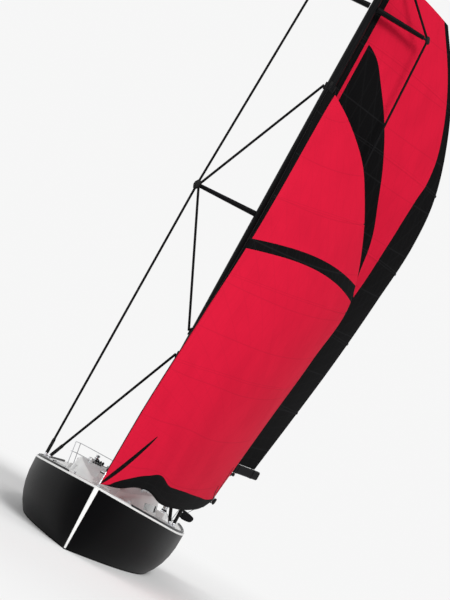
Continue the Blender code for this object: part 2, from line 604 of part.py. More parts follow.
SPREADER_TIP = (0.17, 0.100)  # chord and thickness at the tip
for side, sign in (("port", 1), ("starboard", -1)):
    for level, z, span, spare in SPREADERS:
        rings = []
        tip_y = span - STAY_R - spare
        for y, chord, thick in ((MAST_HALF + GAP, 0.24, 0.140), (0.9, 0.21, 0.122), (tip_y, SPREADER_TIP[0], SPREADER_TIP[1])):
            cx = MAST_X - SWEEP * y
            half = [(0.5, 0.0), (0.25, 0.5), (-0.1, 0.5), (-0.5, 0.0), (-0.1, -0.5), (0.25, -0.5)]
            rings.append([(cx + chord * a, sign * y, z + thick * b) for a, b in half])
        loft("spreader_" + level + "_" + side, rings, "carbon_black")
    chain_x = MAST_X - SWEEP * CHAIN_Y
    foot_z = max(deck_z(x, y) for x in (chain_x - 0.08, chain_x + 0.10) for y in (LOWERS_Y - 0.04, CHAIN_Y + 0.04)) + 0.002
    plate_y = sorted((sign * (LOWERS_Y - 0.04), sign * (CHAIN_Y + 0.04)))
    box("chainplate_" + side, (chain_x - 0.08, plate_y[0], foot_z), (chain_x + 0.10, plate_y[1], foot_z + 0.05), "steel")
    pin_z = foot_z + 0.070
    tips = [(MAST_X - SWEEP * span, sign * span, z) for level, z, span, spare in SPREADERS]
    top = (MAST_X, sign * (MAST_HALF * 0.72 + STAY_R + 0.004), MAST_TOP - 0.14)
    tube("cap_shroud_" + side, [(chain_x, sign * CHAIN_Y, pin_z)] + tips + [top], STAY_R, "carbon_black", 8)
    inner = sign * (MAST_HALF + STAY_R + 0.005)
    tube("lower_shroud_" + side, [(chain_x + 0.045, sign * LOWERS_Y, pin_z), (MAST_X, inner, LOWERS_Z)], STAY_R, "carbon_black", 8)
    z, span = SPREADERS[0][1:3]
    strut_x = MAST_X - SWEEP * (span - 0.05) + SPREADER_TIP[0] / 2 + STAY_R + 0.006
    strut = (strut_x, sign * (span - 0.05), z)
    tube("diamond_stay_" + side, [(MAST_X, inner, HOUNDS_Z - 0.05), strut, (MAST_X, inner, DIAMOND_FOOT_Z)], STAY_R, "carbon_black", 8)

TACK = (5.965, 0.0, 1.640)
HOUND = (MAST_X + MAST_LONG + 0.024, 0.0, HOUNDS_Z)
fitting = box("stem_fitting", (5.62, -0.045, 1.600), (6.00, 0.045, 1.612), "steel")
join(fitting, box("tang", (5.88, -0.008, 1.60), (5.99, 0.008, 1.626), None, cutters))


def stay_point(v):
    """The forestay, which sags a little to leeward under the pull of the jib."""
    sag = 0.14 * math.sin(math.pi * max(0.0, (v - 0.15) / 0.85)) ** 1.5 if v < 1.0 else 0.0
    return Vector(TACK).lerp(Vector(HOUND), v) + Vector((0, sag, 0))


tube("forestay", [stay_point(v) for v in spread(0.0, 1.0, 24)], FORESTAY_R, "carbon_black", 10)

# ---------------------------------------------------------------- boom and its gear
aft = Vector((-math.cos(BOOM_ANGLE), math.sin(BOOM_ANGLE), 0.0))
out = Vector((math.sin(BOOM_ANGLE), math.cos(BOOM_ANGLE), 0.0))


def boom_point(r, side=0.0, up=0.0):
    base = Vector((GOOSE_X, 0, GOOSE_Z)) + aft * r + out * side
    return base + Vector((0, 0, up + BOOM_RISE * r / BOOM_LENGTH))


rings = []
for r, size in ((0.16, 0.85), (0.30, 1.0), (3.6, 1.0), (BOOM_LENGTH, 0.95)):
    w, h, c = BOOM_HALF[0] * size, BOOM_HALF[1] * size, 0.032 * size
    shape = [(w, -h + c), (w, h - c), (w - c, h), (-w + c, h), (-w, h - c), (-w, -h + c), (-w + c, -h), (w - c, -h)]
    rings.append([boom_point(r, a, b) for a, b in shape])
boom = loft("boom", rings, "carbon_black")

bracket = box("mast_bracket", (MAST_X - MAST_LONG - 0.016, -0.035, 2.10), (MAST_X - MAST_LONG - 0.004, 0.035, 3.25), "steel")
for z in (2.14, 2.26, 2.96, 3.19):
    join(bracket, box("lug", (GOOSE_X - 0.03, -0.030, z - 0.008), (MAST_X - MAST_LONG - 0.010, 0.030, z + 0.008), None, cutters))
goose = tube("gooseneck", [(GOOSE_X, 0, 2.974), (GOOSE_X, 0, 3.176)], 0.022, "steel", 12)
join(goose, tube("link", [boom_point(0.0, 0, 0), boom_point(0.157, 0, 0)], 0.020, None, 8, cutters))
vang = tube("vang", [(GOOSE_X, 0, 2.154), (GOOSE_X, 0, 2.246)], 0.020, "carbon_black", 12)
join(vang, tube("rod", [Vector((GOOSE_X, 0, 2.20)), boom_point(1.75, 0, -BOOM_HALF[1] - 0.030)], 0.024, None, 10, cutters))


# ---------------------------------------------------------------- sails
def sail(name, point, across, up, finish):
    """A thin closed cloth from a surface function, thickened along its normals."""
    grid = [[Vector(point(i / across, j / up)) for i in range(across + 1)] for j in range(up + 1)]
    verts, faces = [], []
    for face in (0.5, -0.5):
        for j in range(up + 1):
            for i in range(across + 1):
                a = grid[j][min(i + 1, across)] - grid[j][max(i - 1, 0)]
                b = grid[min(j + 1, up)][i] - grid[max(j - 1, 0)][i]
                n = a.cross(b).normalized()
                verts.append(tuple(grid[j][i] + n * face * SAIL_THICK))
    row, half = across + 1, (across + 1) * (up + 1)
    for j in range(up):
        for i in range(across):
            k = j * row + i
            faces.append((k, k + 1, k + 1 + row, k + row))
            faces.append((half + k, half + k + row, half + k + row + 1, half + k + 1))
    rim = [i for i in range(across)] + [j * row + across for j in range(up)]
    rim += [up * row + i for i in range(across, 0, -1)] + [j * row for j in range(up, 0, -1)]
    for a, b in zip(rim, rim[1:] + rim[:1]):
        faces.append((a, half + a, half + b, b))
    return round_shading(make_object(name, verts, faces, finish), 60)


def belly(t, depth, draft=0.42):
    """Camber of the cloth at a share of the chord, deepest at the draft."""
    if t < draft:
        return depth * (1.0 - ((draft - t) / draft) ** 2)
    return depth * (1.0 - ((t - draft) / (1.0 - draft)) ** 2)


# columns: share of the height, leech x, leech y, leech height
JIB = np.array([
    (0.00, -0.15, 2.34, 2.56),
    (0.20, 0.00, 2.62, 4.85),
    (0.38, 0.08, 2.86, 6.75),
    (0.55, 0.20, 3.00, 8.50),
    (0.68, 0.55, 2.56, 9.90),
    (0.78, 0.92, 2.08, 10.85),
    (0.87, 1.20, 1.54, 11.65),
    (0.95, 1.45, 0.75, 12.35),
    (1.00, 1.58, 0.24, 12.68),
])
# columns: share of the foot, drop of the foot below a straight line
FOOT_SAG = np.array([(0.0, 0.0), (0.11, 0.0), (0.20, -0.10), (0.28, -0.08), (0.43, 0.20), (0.6, 0.31), (0.75, 0.335),
                     (0.9, 0.28), (1.0, 0.10)])
JIB_HEAD = 0.985        # share of the forestay where the head sits
JIB_TACK = 0.003


def jib_point(t, v):
    stay = stay_point(JIB_TACK + (JIB_HEAD - JIB_TACK) * v)
    leech = Vector([smooth(JIB[:, 0], JIB[:, k], v) for k in (1, 2, 3)])
    chord = leech - stay
    flat = Vector((chord.y, -chord.x, 0)).normalized()
    start = stay + chord.normalized() * (FORESTAY_R + 0.009)
    p = start.lerp(leech, t)
    p = p + flat * belly(t, 0.115 * chord.length * (0.45 + 0.55 * math.sin(math.pi * min(v * 1.15, 1.0))))
    p.z -= smooth(FOOT_SAG[:, 0], FOOT_SAG[:, 1], t) * (1 - v) ** 6
    return p


sail("jib", jib_point, 16, 28, "red_sailcloth")

# columns: share of the height, leech x, leech y, camber as a share of the chord
MAIN = np.array([
    (0.00, -3.33, 2.90, 0.012),
    (0.13, -3.12, 3.14, 0.070),
    (0.29, -2.70, 3.41, 0.095),
    (0.44, -2.24, 3.60, 0.105),
    (0.58, -1.76, 3.73, 0.105),
    (0.66, -1.47, 3.68, 0.100),
    (0.80, -0.93, 3.20, 0.090),
    (0.92, -0.42, 2.48, 0.080),
    (1.00, -0.04, 1.80, 0.070),
])
MAIN_LUFF = (GOOSE_X + 0.03, 3.225, 16.20)
MAIN_LEECH = (3.645, 15.90)


def main_point(t, v):
    x1, y1, depth = [smooth(MAIN[:, 0], MAIN[:, k], v) for k in (1, 2, 3)]
    x0, z0, z1 = MAIN_LUFF
    luff = Vector((x0, 0, z0 + (z1 - z0) * v))
    leech = Vector((x1, y1, MAIN_LEECH[0] + (MAIN_LEECH[1] - MAIN_LEECH[0]) * v))
    chord = leech - luff
    lee = Vector((chord.y, -chord.x, 0)).normalized()
    return luff.lerp(leech, t) + lee * belly(t, depth * chord.length, 0.45)


sail("mainsail", main_point, 16, 30, "red_sailcloth")
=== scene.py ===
# Racing sloop under sail: finishes, cloth, lines and fittings over the modelled frame.
import math

import bmesh
import bpy
import numpy as np
from mathutils import Matrix, Vector
from mathutils.bvhtree import BVHTree


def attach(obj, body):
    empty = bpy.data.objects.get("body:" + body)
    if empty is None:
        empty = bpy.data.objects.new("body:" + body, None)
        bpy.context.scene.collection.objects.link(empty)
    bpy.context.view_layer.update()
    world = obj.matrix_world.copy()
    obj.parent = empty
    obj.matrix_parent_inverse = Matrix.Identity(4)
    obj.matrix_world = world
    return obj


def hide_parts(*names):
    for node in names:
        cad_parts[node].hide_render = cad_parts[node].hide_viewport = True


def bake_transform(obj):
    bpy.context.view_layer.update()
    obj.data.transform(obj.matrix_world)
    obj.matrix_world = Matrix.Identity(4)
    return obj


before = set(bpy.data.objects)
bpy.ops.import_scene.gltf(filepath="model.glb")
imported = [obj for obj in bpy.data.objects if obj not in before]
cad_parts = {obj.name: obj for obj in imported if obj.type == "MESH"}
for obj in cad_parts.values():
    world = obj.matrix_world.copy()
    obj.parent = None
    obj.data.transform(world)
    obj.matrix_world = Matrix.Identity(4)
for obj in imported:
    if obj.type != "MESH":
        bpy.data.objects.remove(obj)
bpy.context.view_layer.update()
scene = bpy.context.scene
scene.view_settings.view_transform = "Standard"

# ------------------------------------------------------------------ Viewpoint
# A long lens far ahead of the bow and a little to port, held about 3.5 m above
# the water and rolled, so that the upright boat is seen heeled to port.
def placed(name, data):
    """A new object at the origin, linked into the scene."""
    obj = bpy.data.objects.new(name, data)
    scene.collection.objects.link(obj)
    return obj


EYE = Vector((57.5625, 2.8957, 3.5082))
YAW, PITCH, ROLL = -0.0468, 0.0610, -0.5033
SENSOR, FOCAL_LENGTH = 36.0, 137.247
ahead = Vector((-math.cos(PITCH) * math.cos(YAW), math.cos(PITCH) * math.sin(YAW), math.sin(PITCH)))
level = Vector((math.sin(YAW), math.cos(YAW), 0.0))
upward = level.cross(ahead)
right = level * math.cos(ROLL) - upward * math.sin(ROLL)
top = level * math.sin(ROLL) + upward * math.cos(ROLL)
lens = bpy.data.cameras.new("bow_view")
lens.sensor_width = SENSOR
lens.lens = FOCAL_LENGTH
lens.clip_end = 500.0
camera = placed("bow_view", lens)
turn = Matrix((right, top, -ahead)).transposed().to_4x4()
camera.matrix_world = Matrix.Translation(EYE) @ turn
scene.camera = camera


# ------------------------------------------------------------------ Water line and light
# A pale floor lies at the waterline and fades into a backdrop of the same tone.
# Soft daylight comes from high on the starboard bow, with a weaker fill to port.
class Value:
    """A number in a material; plain arithmetic on it adds the matching Math node."""

    def __init__(self, tree, socket):
        self.tree = tree
        self.socket = socket

    def maths(self, operation, *others):
        """One Math node on this value and up to two others."""
        node = self.tree.nodes.new("ShaderNodeMath")
        node.operation = operation
        for slot, item in zip(node.inputs, (self,) + others):
            if isinstance(item, Value):
                self.tree.links.new(item.socket, slot)
            else:
                slot.default_value = item
        return Value(self.tree, node.outputs[0])

    def number(self, other, operation):
        """The same with a plain number in front, as in 1 - mask."""
        node = self.tree.nodes.new("ShaderNodeMath")
        node.operation = operation
        node.inputs[0].default_value = other
        self.tree.links.new(self.socket, node.inputs[1])
        return Value(self.tree, node.outputs[0])

    def __add__(self, other):
        return self.maths("ADD", other)

    def __radd__(self, other):
        return self.number(other, "ADD")

    def __sub__(self, other):
        return self.maths("SUBTRACT", other)

    def __rsub__(self, other):
        return self.number(other, "SUBTRACT")

    def __mul__(self, other):
        return self.maths("MULTIPLY", other)

    def __rmul__(self, other):
        return self.number(other, "MULTIPLY")

    def __truediv__(self, other):
        return self.maths("DIVIDE", other)

    def __abs__(self):
        return self.maths("ABSOLUTE")

    def above(self, other):
        return self.maths("GREATER_THAN", other)

    def below(self, other):
        return self.maths("LESS_THAN", other)

    def most(self, other):
        return self.maths("MAXIMUM", other)

    def step(self, low, high):
        """Rises smoothly from 0 at low to 1 at high."""
        node = self.tree.nodes.new("ShaderNodeMapRange")
        node.interpolation_type = "SMOOTHSTEP"
        node.inputs["From Min"].default_value = low
        node.inputs["From Max"].default_value = high
        self.tree.links.new(self.socket, node.inputs["Value"])
        return Value(self.tree, node.outputs["Result"])


class Finish:
    """One material under construction."""

    def __init__(self, name):
        self.material = bpy.data.materials.new(name)
        self.material.use_nodes = True
        self.tree = self.material.node_tree
        self.shader = self.tree.nodes["Principled BSDF"]
        self.place = self.tree.nodes.new("ShaderNodeTexCoord").outputs["Object"]

    def add(self, kind, settings=None, **values):
        """A node with its settings, then the values or links of its sockets."""
        node = self.tree.nodes.new(kind)
        for key, item in (settings or {}).items():
            setattr(node, key, item)
        for key, item in values.items():
            self.put(node.inputs[key.replace("_", " ")], item)
        return node

    def put(self, slot, item):
        if isinstance(item, Value):
            self.tree.links.new(item.socket, slot)
        elif isinstance(item, bpy.types.NodeSocket):
            self.tree.links.new(item, slot)
        else:
            slot.default_value = item

    def set(self, **values):
        for key, item in values.items():
            self.put(self.shader.inputs[key.replace("_", " ")], item)
        return self

    def axes(self):
        split = self.add("ShaderNodeSeparateXYZ", Vector=self.place)
        return [Value(self.tree, split.outputs[k]) for k in range(3)]

    def normal_up(self):
        geometry = self.add("ShaderNodeNewGeometry")
        split = self.add("ShaderNodeSeparateXYZ", Vector=geometry.outputs["Normal"])
        return Value(self.tree, split.outputs[2])

    def attribute(self, name):
        node = self.add("ShaderNodeAttribute", {"attribute_name": name})
        return Value(self.tree, node.outputs["Fac"])

    def noise(self, scale, detail=3.0, stretch=(1.0, 1.0, 1.0)):
        mapping = self.add("ShaderNodeMapping", Vector=self.place, Scale=stretch)
        node = self.add("ShaderNodeTexNoise", Vector=mapping.outputs[0], Scale=scale, Detail=detail)
        return Value(self.tree, node.outputs["Fac"])

    def curve(self, value, points):
        """A smooth line through points, whose two coordinates lie between 0 and 1."""
        node = self.add("ShaderNodeFloatCurve", Value=value)
        line = node.mapping.curves[0].points
        while len(line) < len(points):
            line.new(0.5, 0.5)
        for spot, place in zip(line, points):
            spot.location = place
        node.mapping.update()
        return Value(self.tree, node.outputs[0])

    def blend(self, factor, first, second):
        node = self.add("ShaderNodeMix", {"data_type": "RGBA"})
        self.put(node.inputs["Factor"], factor)
        self.put(node.inputs["A"], first if not isinstance(first, tuple) else (*first, 1.0))
        self.put(node.inputs["B"], second if not isinstance(second, tuple) else (*second, 1.0))
        return node.outputs["Result"]

    def bump(self, height, strength, distance):
        node = self.add("ShaderNodeBump", Height=height, Strength=strength, Distance=distance)
        return node.outputs["Normal"]


PALE = 0.925
FLOOR_RADIUS, FADE_NEAR, FADE_FAR = 110.0, 10.0, 26.0
floor_mesh = bpy.data.meshes.new("floor")
bm = bmesh.new()
bmesh.ops.create_circle(bm, cap_ends=True, segments=96, radius=FLOOR_RADIUS)
bm.to_mesh(floor_mesh)
bm.free()
floor = placed("floor", floor_mesh)
pale = Finish("pale_floor")
x, y, z = pale.axes()
reach = (x * x + y * y).maths("SQRT").step(FADE_NEAR, FADE_FAR)
flat = pale.add("ShaderNodeEmission", Color=(PALE, PALE, PALE, 1.0), Strength=1.0)
pale.set(Base_Color=(0.86, 0.86, 0.86, 1.0), Roughness=0.95, Specular_IOR_Level=0.0)
mix = pale.add("ShaderNodeMixShader", Fac=reach)
pale.tree.links.new(pale.shader.outputs[0], mix.inputs[1])
pale.tree.links.new(flat.outputs[0], mix.inputs[2])
pale.tree.links.new(mix.outputs[0], pale.tree.nodes["Material Output"].inputs["Surface"])
floor_mesh.materials.append(pale.material)

world = bpy.data.worlds.new("daylight")
world.use_nodes = True
scene.world = world
tree = world.node_tree
paths = tree.nodes.new("ShaderNodeLightPath")
sky = tree.nodes["Background"]
sky.inputs["Color"].default_value = (1.0, 1.0, 1.0, 1.0)
sky.inputs["Strength"].default_value = 0.55
seen = tree.nodes.new("ShaderNodeBackground")
seen.inputs["Color"].default_value = (PALE, PALE, PALE, 1.0)
seen.inputs["Strength"].default_value = 1.0
choose = tree.nodes.new("ShaderNodeMixShader")
direct = Value(tree, paths.outputs["Is Camera Ray"])
for ray in ("Is Glossy Ray", "Is Transmission Ray"):
    direct = direct.most(Value(tree, paths.outputs[ray]))
tree.links.new(direct.socket, choose.inputs[0])
tree.links.new(sky.outputs[0], choose.inputs[1])
tree.links.new(seen.outputs[0], choose.inputs[2])
tree.links.new(choose.outputs[0], tree.nodes["World Output"].inputs["Surface"])

for name, direction, power, spread in (
    ("sun", (38.0, 16.0, 30.0), 1.9, 22.0),
    ("fill", (14.0, -34.0, 20.0), 0.6, 60.0),
):
    light = bpy.data.lights.new(name, "SUN")
    light.energy = power
    light.angle = math.radians(spread)
    lamp = placed(name, light)
    lamp.rotation_mode = "QUATERNION"
    lamp.rotation_quaternion = Vector(direction).to_track_quat("Z", "Y")


# ------------------------------------------------------------------ Hull
# A moulded skin in gloss black, matt black below the waterline, with the faint
# unevenness of a hand laid laminate; up its nose runs a pale strip, painted as the
# highlight along the stem's edge.
def dress(node, finish, angle=38.0):
    """Gives a modelled node its finish and shades its curved faces smooth."""
    mesh = bpy.data.objects[node].data
    mesh.materials.clear()
    mesh.materials.append(finish.material)
    spots = np.zeros(len(mesh.vertices) * 3)
    normals, areas = np.zeros(len(mesh.polygons) * 3), np.zeros(len(mesh.polygons))
    mesh.vertices.foreach_get("co", spots)
    mesh.polygons.foreach_get("normal", normals)
    mesh.polygons.foreach_get("area", areas)
    normals = normals.reshape(-1, 3)
    group = np.unique(np.round(spots.reshape(-1, 3), 4), axis=0, return_inverse=True)[1].ravel()
    corner, face = np.zeros(len(mesh.loops), int), np.zeros(len(mesh.loops), int)
    mesh.loops.foreach_get("vertex_index", corner)
    for polygon in mesh.polygons:
        face[polygon.loop_start:polygon.loop_start + polygon.loop_total] = polygon.index
    order = np.argsort(group[corner], kind="stable")
    turns = np.split(order, np.flatnonzero(np.diff(group[corner][order])) + 1)
    result = np.zeros((len(mesh.loops), 3))
    for loops in turns:
        near = normals[face[loops]]
        kept = (near @ near.T > math.cos(math.radians(angle))) * areas[face[loops]][None, :]
        result[loops] = kept @ near
    result /= np.linalg.norm(result, axis=1)[:, None] + 1e-12
    mesh.polygons.foreach_set("use_smooth", np.ones(len(mesh.polygons), bool))
    mesh.normals_split_custom_set(result.tolist())


PAINT_BLACK, BOOT_TOP = (0.0030, 0.0030, 0.0034), (0.035, 0.025)
hull_black = Finish("gloss_black_hull")
x, y, z = hull_black.axes()
below = z.step(*BOOT_TOP)
fair = hull_black.noise(0.9, 2.0)
salt = hull_black.noise(14.0, 5.0, (1.0, 1.0, 3.0))
tone = hull_black.blend(below, PAINT_BLACK, (0.0060, 0.0060, 0.0064))
hull_black.set(
    Base_Color=hull_black.blend((salt - 0.6).most(0.0) * 0.3, tone, (0.03, 0.03, 0.031)),
    Roughness=0.30 + below * 0.26 + salt * 0.08,
    Specular_IOR_Level=0.012,
    Normal=hull_black.bump(fair, 0.12, 0.02),
)
dress("hull", hull_black)
stem_highlight_paint = Finish("stem_painted_highlight")
x, y, z = stem_highlight_paint.axes()
grain = stem_highlight_paint.noise(22.0, 4.0)
# the pale strip is a painted highlight along the stem's edge; beside it the band is hull black
white = stem_highlight_paint.blend(grain, (0.90, 0.90, 0.89), (0.84, 0.84, 0.83))
beside = abs(y).above(0.024 + z * 0.021)
stem_highlight_paint.set(Base_Color=stem_highlight_paint.blend(beside.most(z.below(0.03)), white, PAINT_BLACK),
               Roughness=0.30 + grain * 0.1, Specular_IOR_Level=0.012)
dress("stem_band", stem_highlight_paint)

# ------------------------------------------------------------------ Deck
# One pale moulding with coachroof and cockpit. Its flat tops carry a grey
# non-slip grain that ends where they round over; the cockpit is laid with teak.
GEL_WHITE, GEL_SHADE, CAULK = (0.80, 0.80, 0.79), (0.74, 0.745, 0.74), (0.015, 0.014, 0.013)
TEAK_DARK, TEAK_PALE, STRIP_WIDE = (0.42, 0.27, 0.15), (0.58, 0.42, 0.27), 0.055
COCKPIT_FORE, COCKPIT_AFT, COCKPIT_HALF, COCKPIT_TOP = -2.30, -5.56, 1.215, 1.06


def laid_teak(finish):
    """Teak strips laid fore and aft: their grain, their tone, and 1 on the seams between them."""
    seam = abs((finish.axes()[1] / STRIP_WIDE).maths("FRACT") - 0.5).above(0.44)
    grain = finish.noise(16.0, 6.0, (0.4, 6.0, 1.0))
    return grain, finish.blend(grain, TEAK_DARK, TEAK_PALE), seam


deck_white = Finish("deck_moulding")
x, y, z = deck_white.axes()
tread = deck_white.normal_up().above(0.93)
grip = tread * x.above(COCKPIT_FORE)
pattern = deck_white.add("ShaderNodeTexVoronoi", {"feature": "F1", "distance": "CHEBYCHEV"},
                         Vector=deck_white.place, Scale=55.0)
studs = Value(deck_white.tree, pattern.outputs["Distance"]).step(0.30, 0.55)
well = x.below(COCKPIT_FORE) * x.above(COCKPIT_AFT) * abs(y).below(COCKPIT_HALF)
cockpit = well * tread * z.below(COCKPIT_TOP)
grain, teak, seam = laid_teak(deck_white)
caulked = deck_white.blend(seam, teak, CAULK)
gel = deck_white.blend(deck_white.noise(3.0, 4.0), GEL_WHITE, GEL_SHADE)
gripped = deck_white.blend(grip * (0.35 + studs * 0.4), gel, (0.52, 0.54, 0.55))
deck_white.set(
    Base_Color=deck_white.blend(cockpit, gripped, caulked),
    Roughness=0.34 + grip * 0.35 + cockpit * 0.30,
    Normal=deck_white.bump(studs * grip * 0.6 + cockpit * (1.0 - seam) * 0.5, 0.35, 0.003),
)
dress("deck", deck_white)
lid_white = Finish("locker_lids")
grain, teak, seam = laid_teak(lid_white)
seam = seam * lid_white.normal_up().above(0.9)
lid_white.set(
    Base_Color=lid_white.blend(seam, teak, CAULK),
    Roughness=0.62 + grain * 0.1,
    Normal=lid_white.bump(1.0 - seam, 0.35, 0.003),
)


SIDES = (("port", 1), ("starboard", -1))


def both(*kinds):
    """The port and starboard nodes of each kind."""
    return [kind + side for kind in kinds for side, sign in SIDES]


def mottled(name, noise, first, second, rough, rougher, bump=None, **more):
    """A finish that varies between two colours and grows rougher towards the second."""
    finish = Finish(name)
    spots = finish.noise(*noise)
    if bump:
        more["Normal"] = finish.bump(spots, *bump)
    tone = finish.blend(spots, first, second)
    return finish.set(Base_Color=tone, Roughness=rough + spots * rougher, **more)


for node in both("locker_lid_"):
    dress(node, lid_white)
dress("anchor_lid", mottled("white_lid", (30.0, 3.0), GEL_WHITE, GEL_SHADE, 0.42, 0.1))


# ------------------------------------------------------------------ Windows, hatches and cabin
# Smoked acrylic panes are bonded flush, and the hatches are slabs of the same on
# moulded rims. Inside are oiled wood, canvas covered settees and a grey engine.
smoked = Finish("smoked_acrylic")
film = smoked.noise(5.0, 3.0)
smoked.set(Base_Color=(0.012, 0.015, 0.018, 1.0), Roughness=0.04 + film * 0.05,
           Transmission_Weight=0.35, IOR=1.49)
for node in ["fore_hatch", "companion_hatch"] + both("window_"):
    dress(node, smoked)
wood = mottled("oiled_wood", (7.0, 8.0, (1.0, 9.0, 0.6)), (0.26, 0.13, 0.06), (0.46, 0.27, 0.13),
               0.42, 0.15, bump=(0.15, 0.002))
for node in ("cabin_sole", "main_bulkhead", "companion_steps", "washboard"):
    dress(node, wood)
canvas = Finish("settee_canvas")
weave = canvas.add("ShaderNodeTexWave", {"wave_type": "BANDS", "bands_direction": "DIAGONAL"},
                   Vector=canvas.place, Scale=60.0)
threads = Value(canvas.tree, weave.outputs["Fac"])
canvas.set(Base_Color=canvas.blend(threads, (0.13, 0.16, 0.24), (0.19, 0.23, 0.33)), Roughness=0.9,
           Normal=canvas.bump(threads, 0.3, 0.002))
for node in both("settee_"):
    dress(node, canvas)
cast_grey = mottled("engine_paint", (9.0, 5.0), (0.30, 0.33, 0.36), (0.18, 0.20, 0.22), 0.5, 0.2,
                    bump=(0.2, 0.004))
for node in ("engine", "saildrive_leg"):
    dress(node, cast_grey)

# ------------------------------------------------------------------ Keel, rudder and propeller
# Cast iron fin with a lead bulb and a laminated rudder, faired and coated in
# matt black antifouling that has chalked a little; the propeller is bronze.
antifoul = Finish("black_antifouling")
chalk = antifoul.noise(6.0, 6.0, (1.0, 1.0, 0.4))
worn = antifoul.blend((chalk - 0.45).most(0.0) * 1.4, (0.008, 0.008, 0.009), (0.035, 0.036, 0.038))
antifoul.set(Base_Color=worn, Roughness=0.62 + chalk * 0.2, Specular_IOR_Level=0.2,
             Normal=antifoul.bump(chalk, 0.15, 0.004))
for node in ("keel_fin", "keel_bulb", "rudder"):
    dress(node, antifoul)
bronze = mottled("propeller_bronze", (18.0, 4.0), (0.55, 0.36, 0.15), (0.30, 0.22, 0.12), 0.25, 0.3,
                 Metallic=1.0)
dress("propeller", bronze)

# ------------------------------------------------------------------ Deck steel
# Rails, track, winches, chainplates and stem fitting are polished stainless
# steel, bolted down, with fine brushing and faint tea staining in patches.
steel = Finish("stainless_steel")
brush = steel.noise(40.0, 3.0, (1.0, 1.0, 12.0))
stain = steel.noise(5.0, 4.0)
steel.set(Base_Color=steel.blend((stain - 0.6).most(0.0) * 1.5, (0.60, 0.61, 0.63), (0.42, 0.33, 0.24)),
          Metallic=1.0, Roughness=0.18 + brush * 0.14)
steel_nodes = ["pushpit", "mainsheet_track", "stem_fitting", "mast_step", "mast_bracket", "gooseneck"]
for node in steel_nodes + both("winch_primary_", "winch_cabin_", "chainplate_"):
    dress(node, steel)

# ------------------------------------------------------------------ Spars and standing rigging
# Mast, boom, vang, spreaders and toe rails are wound carbon under clear coat,
# showing a fine twill only close up. Stays are black coated rod, and the wheel is
# sheathed in black hide.
carbon = Finish("carbon_spar")
x, y, z = carbon.axes()
twill = ((x + y + z) * 260.0).maths("SINE") * ((z - x) * 260.0).maths("SINE")
wear = carbon.noise(4.0, 4.0)
carbon.set(Base_Color=carbon.blend(twill.step(-0.4, 0.6), PAINT_BLACK, (0.0075, 0.0075, 0.0085)),
           Roughness=0.30 + wear * 0.12, Specular_IOR_Level=0.05)
carbon_nodes = ["mast", "boom", "vang", "steering_pedestal", "traveller_car"]
for node in carbon_nodes + both("spreader_lower_", "spreader_upper_", "toe_rail_"):
    dress(node, carbon)
rod_black = Finish("coated_rod")
sheen = rod_black.noise(20.0, 2.0)
rod_black.set(Base_Color=(0.004, 0.004, 0.0045, 1.0), Roughness=0.40 + sheen * 0.15, Specular_IOR_Level=0.06)
for node in ["forestay"] + both("cap_shroud_", "lower_shroud_", "diamond_stay_"):
    dress(node, rod_black)
hide = mottled("wheel_cover", (60.0, 4.0), (0.012, 0.011, 0.011), (0.035, 0.033, 0.032), 0.55, 0.15,
               bump=(0.2, 0.001))
dress("steering_wheel", hide)


# ------------------------------------------------------------------ Jib
# A moulded racing jib: load threads between two thin films, red, with a black
# foot panel painted for the shade under its curled foot, a black streak up from the
# tack painted for the shade in a crease, one black draft stripe and a black luff tape
# that widens to the head.
# It hangs on the forestay and is stretched between tack, head and clew.
HOUND_Z = 12.86
TACK, HOUND = (5.965, 0.0, 1.640), (1.584, 0.0, HOUND_Z)
JIB_CAMBER, JIB_DRAFT, JIB_POCKET = 0.115, 0.42, 0.0032
STAY_SAG, STAY_RADIUS = 0.14, 0.019
# shares of the stay: where the luff starts and how much it takes up
LUFF_START, LUFF_SHARE = 0.003, 0.982
jib_battens = (0.30, 0.52, 0.72)
JIB = np.array([
    # height share, leech x, leech y, leech z
    (0.00, -0.15, 2.34, 2.56),
    (0.20, 0.00, 2.62, 4.85),
    (0.38, 0.08, 2.86, 6.75),
    (0.55, 0.20, 3.00, 8.50),
    (0.68, 0.55, 2.56, 9.90),
    (0.78, 0.92, 2.08, 10.85),
    (0.87, 1.20, 1.54, 11.65),
    (0.95, 1.45, 0.75, 12.35),
    (1.00, 1.58, 0.24, 12.68),
])
# share across, how far the foot hangs below the chord
FOOT_SAG = np.array([(0.0, 0.0), (0.11, 0.0), (0.20, -0.10), (0.28, -0.08), (0.43, 0.20), (0.6, 0.31),
                     (0.75, 0.335), (0.9, 0.28), (1.0, 0.10)])
# share across, height above the foot of the black panel painted for the shade under the curled foot
FOOT_SHADE_PANEL = ((0.0, 0.0), (0.03, 0.01), (0.07, 0.14), (0.12, 0.255), (0.22, 0.345), (0.31, 0.47),
              (0.39, 0.45), (0.48, 0.49), (0.6, 0.475), (0.84, 0.31), (1.0, 0.03))
TAPE_START, TAPE_WIDENING, CREASE_SHADE_TOP = 0.445, 0.36, 0.128
SAIL_RED, SAIL_BLACK = (0.60, 0.0085, 0.036), (0.0028, 0.0027, 0.0030)


def smooth(table, column, q):
    """One column of a short table at q, with the corners between rows rounded."""
    xs, ys = table[:, 0], table[:, column]
    slope = np.gradient(ys, xs)
    i = np.clip(np.searchsorted(xs, q, side="right") - 1, 0, len(xs) - 2)
    d = xs[i + 1] - xs[i]
    t = (q - xs[i]) / d
    return ((2 * t**3 - 3 * t**2 + 1) * ys[i] + (t**3 - 2 * t**2 + t) * d * slope[i]
            + (3 * t**2 - 2 * t**3) * ys[i + 1] + (t**3 - t**2) * d * slope[i + 1])


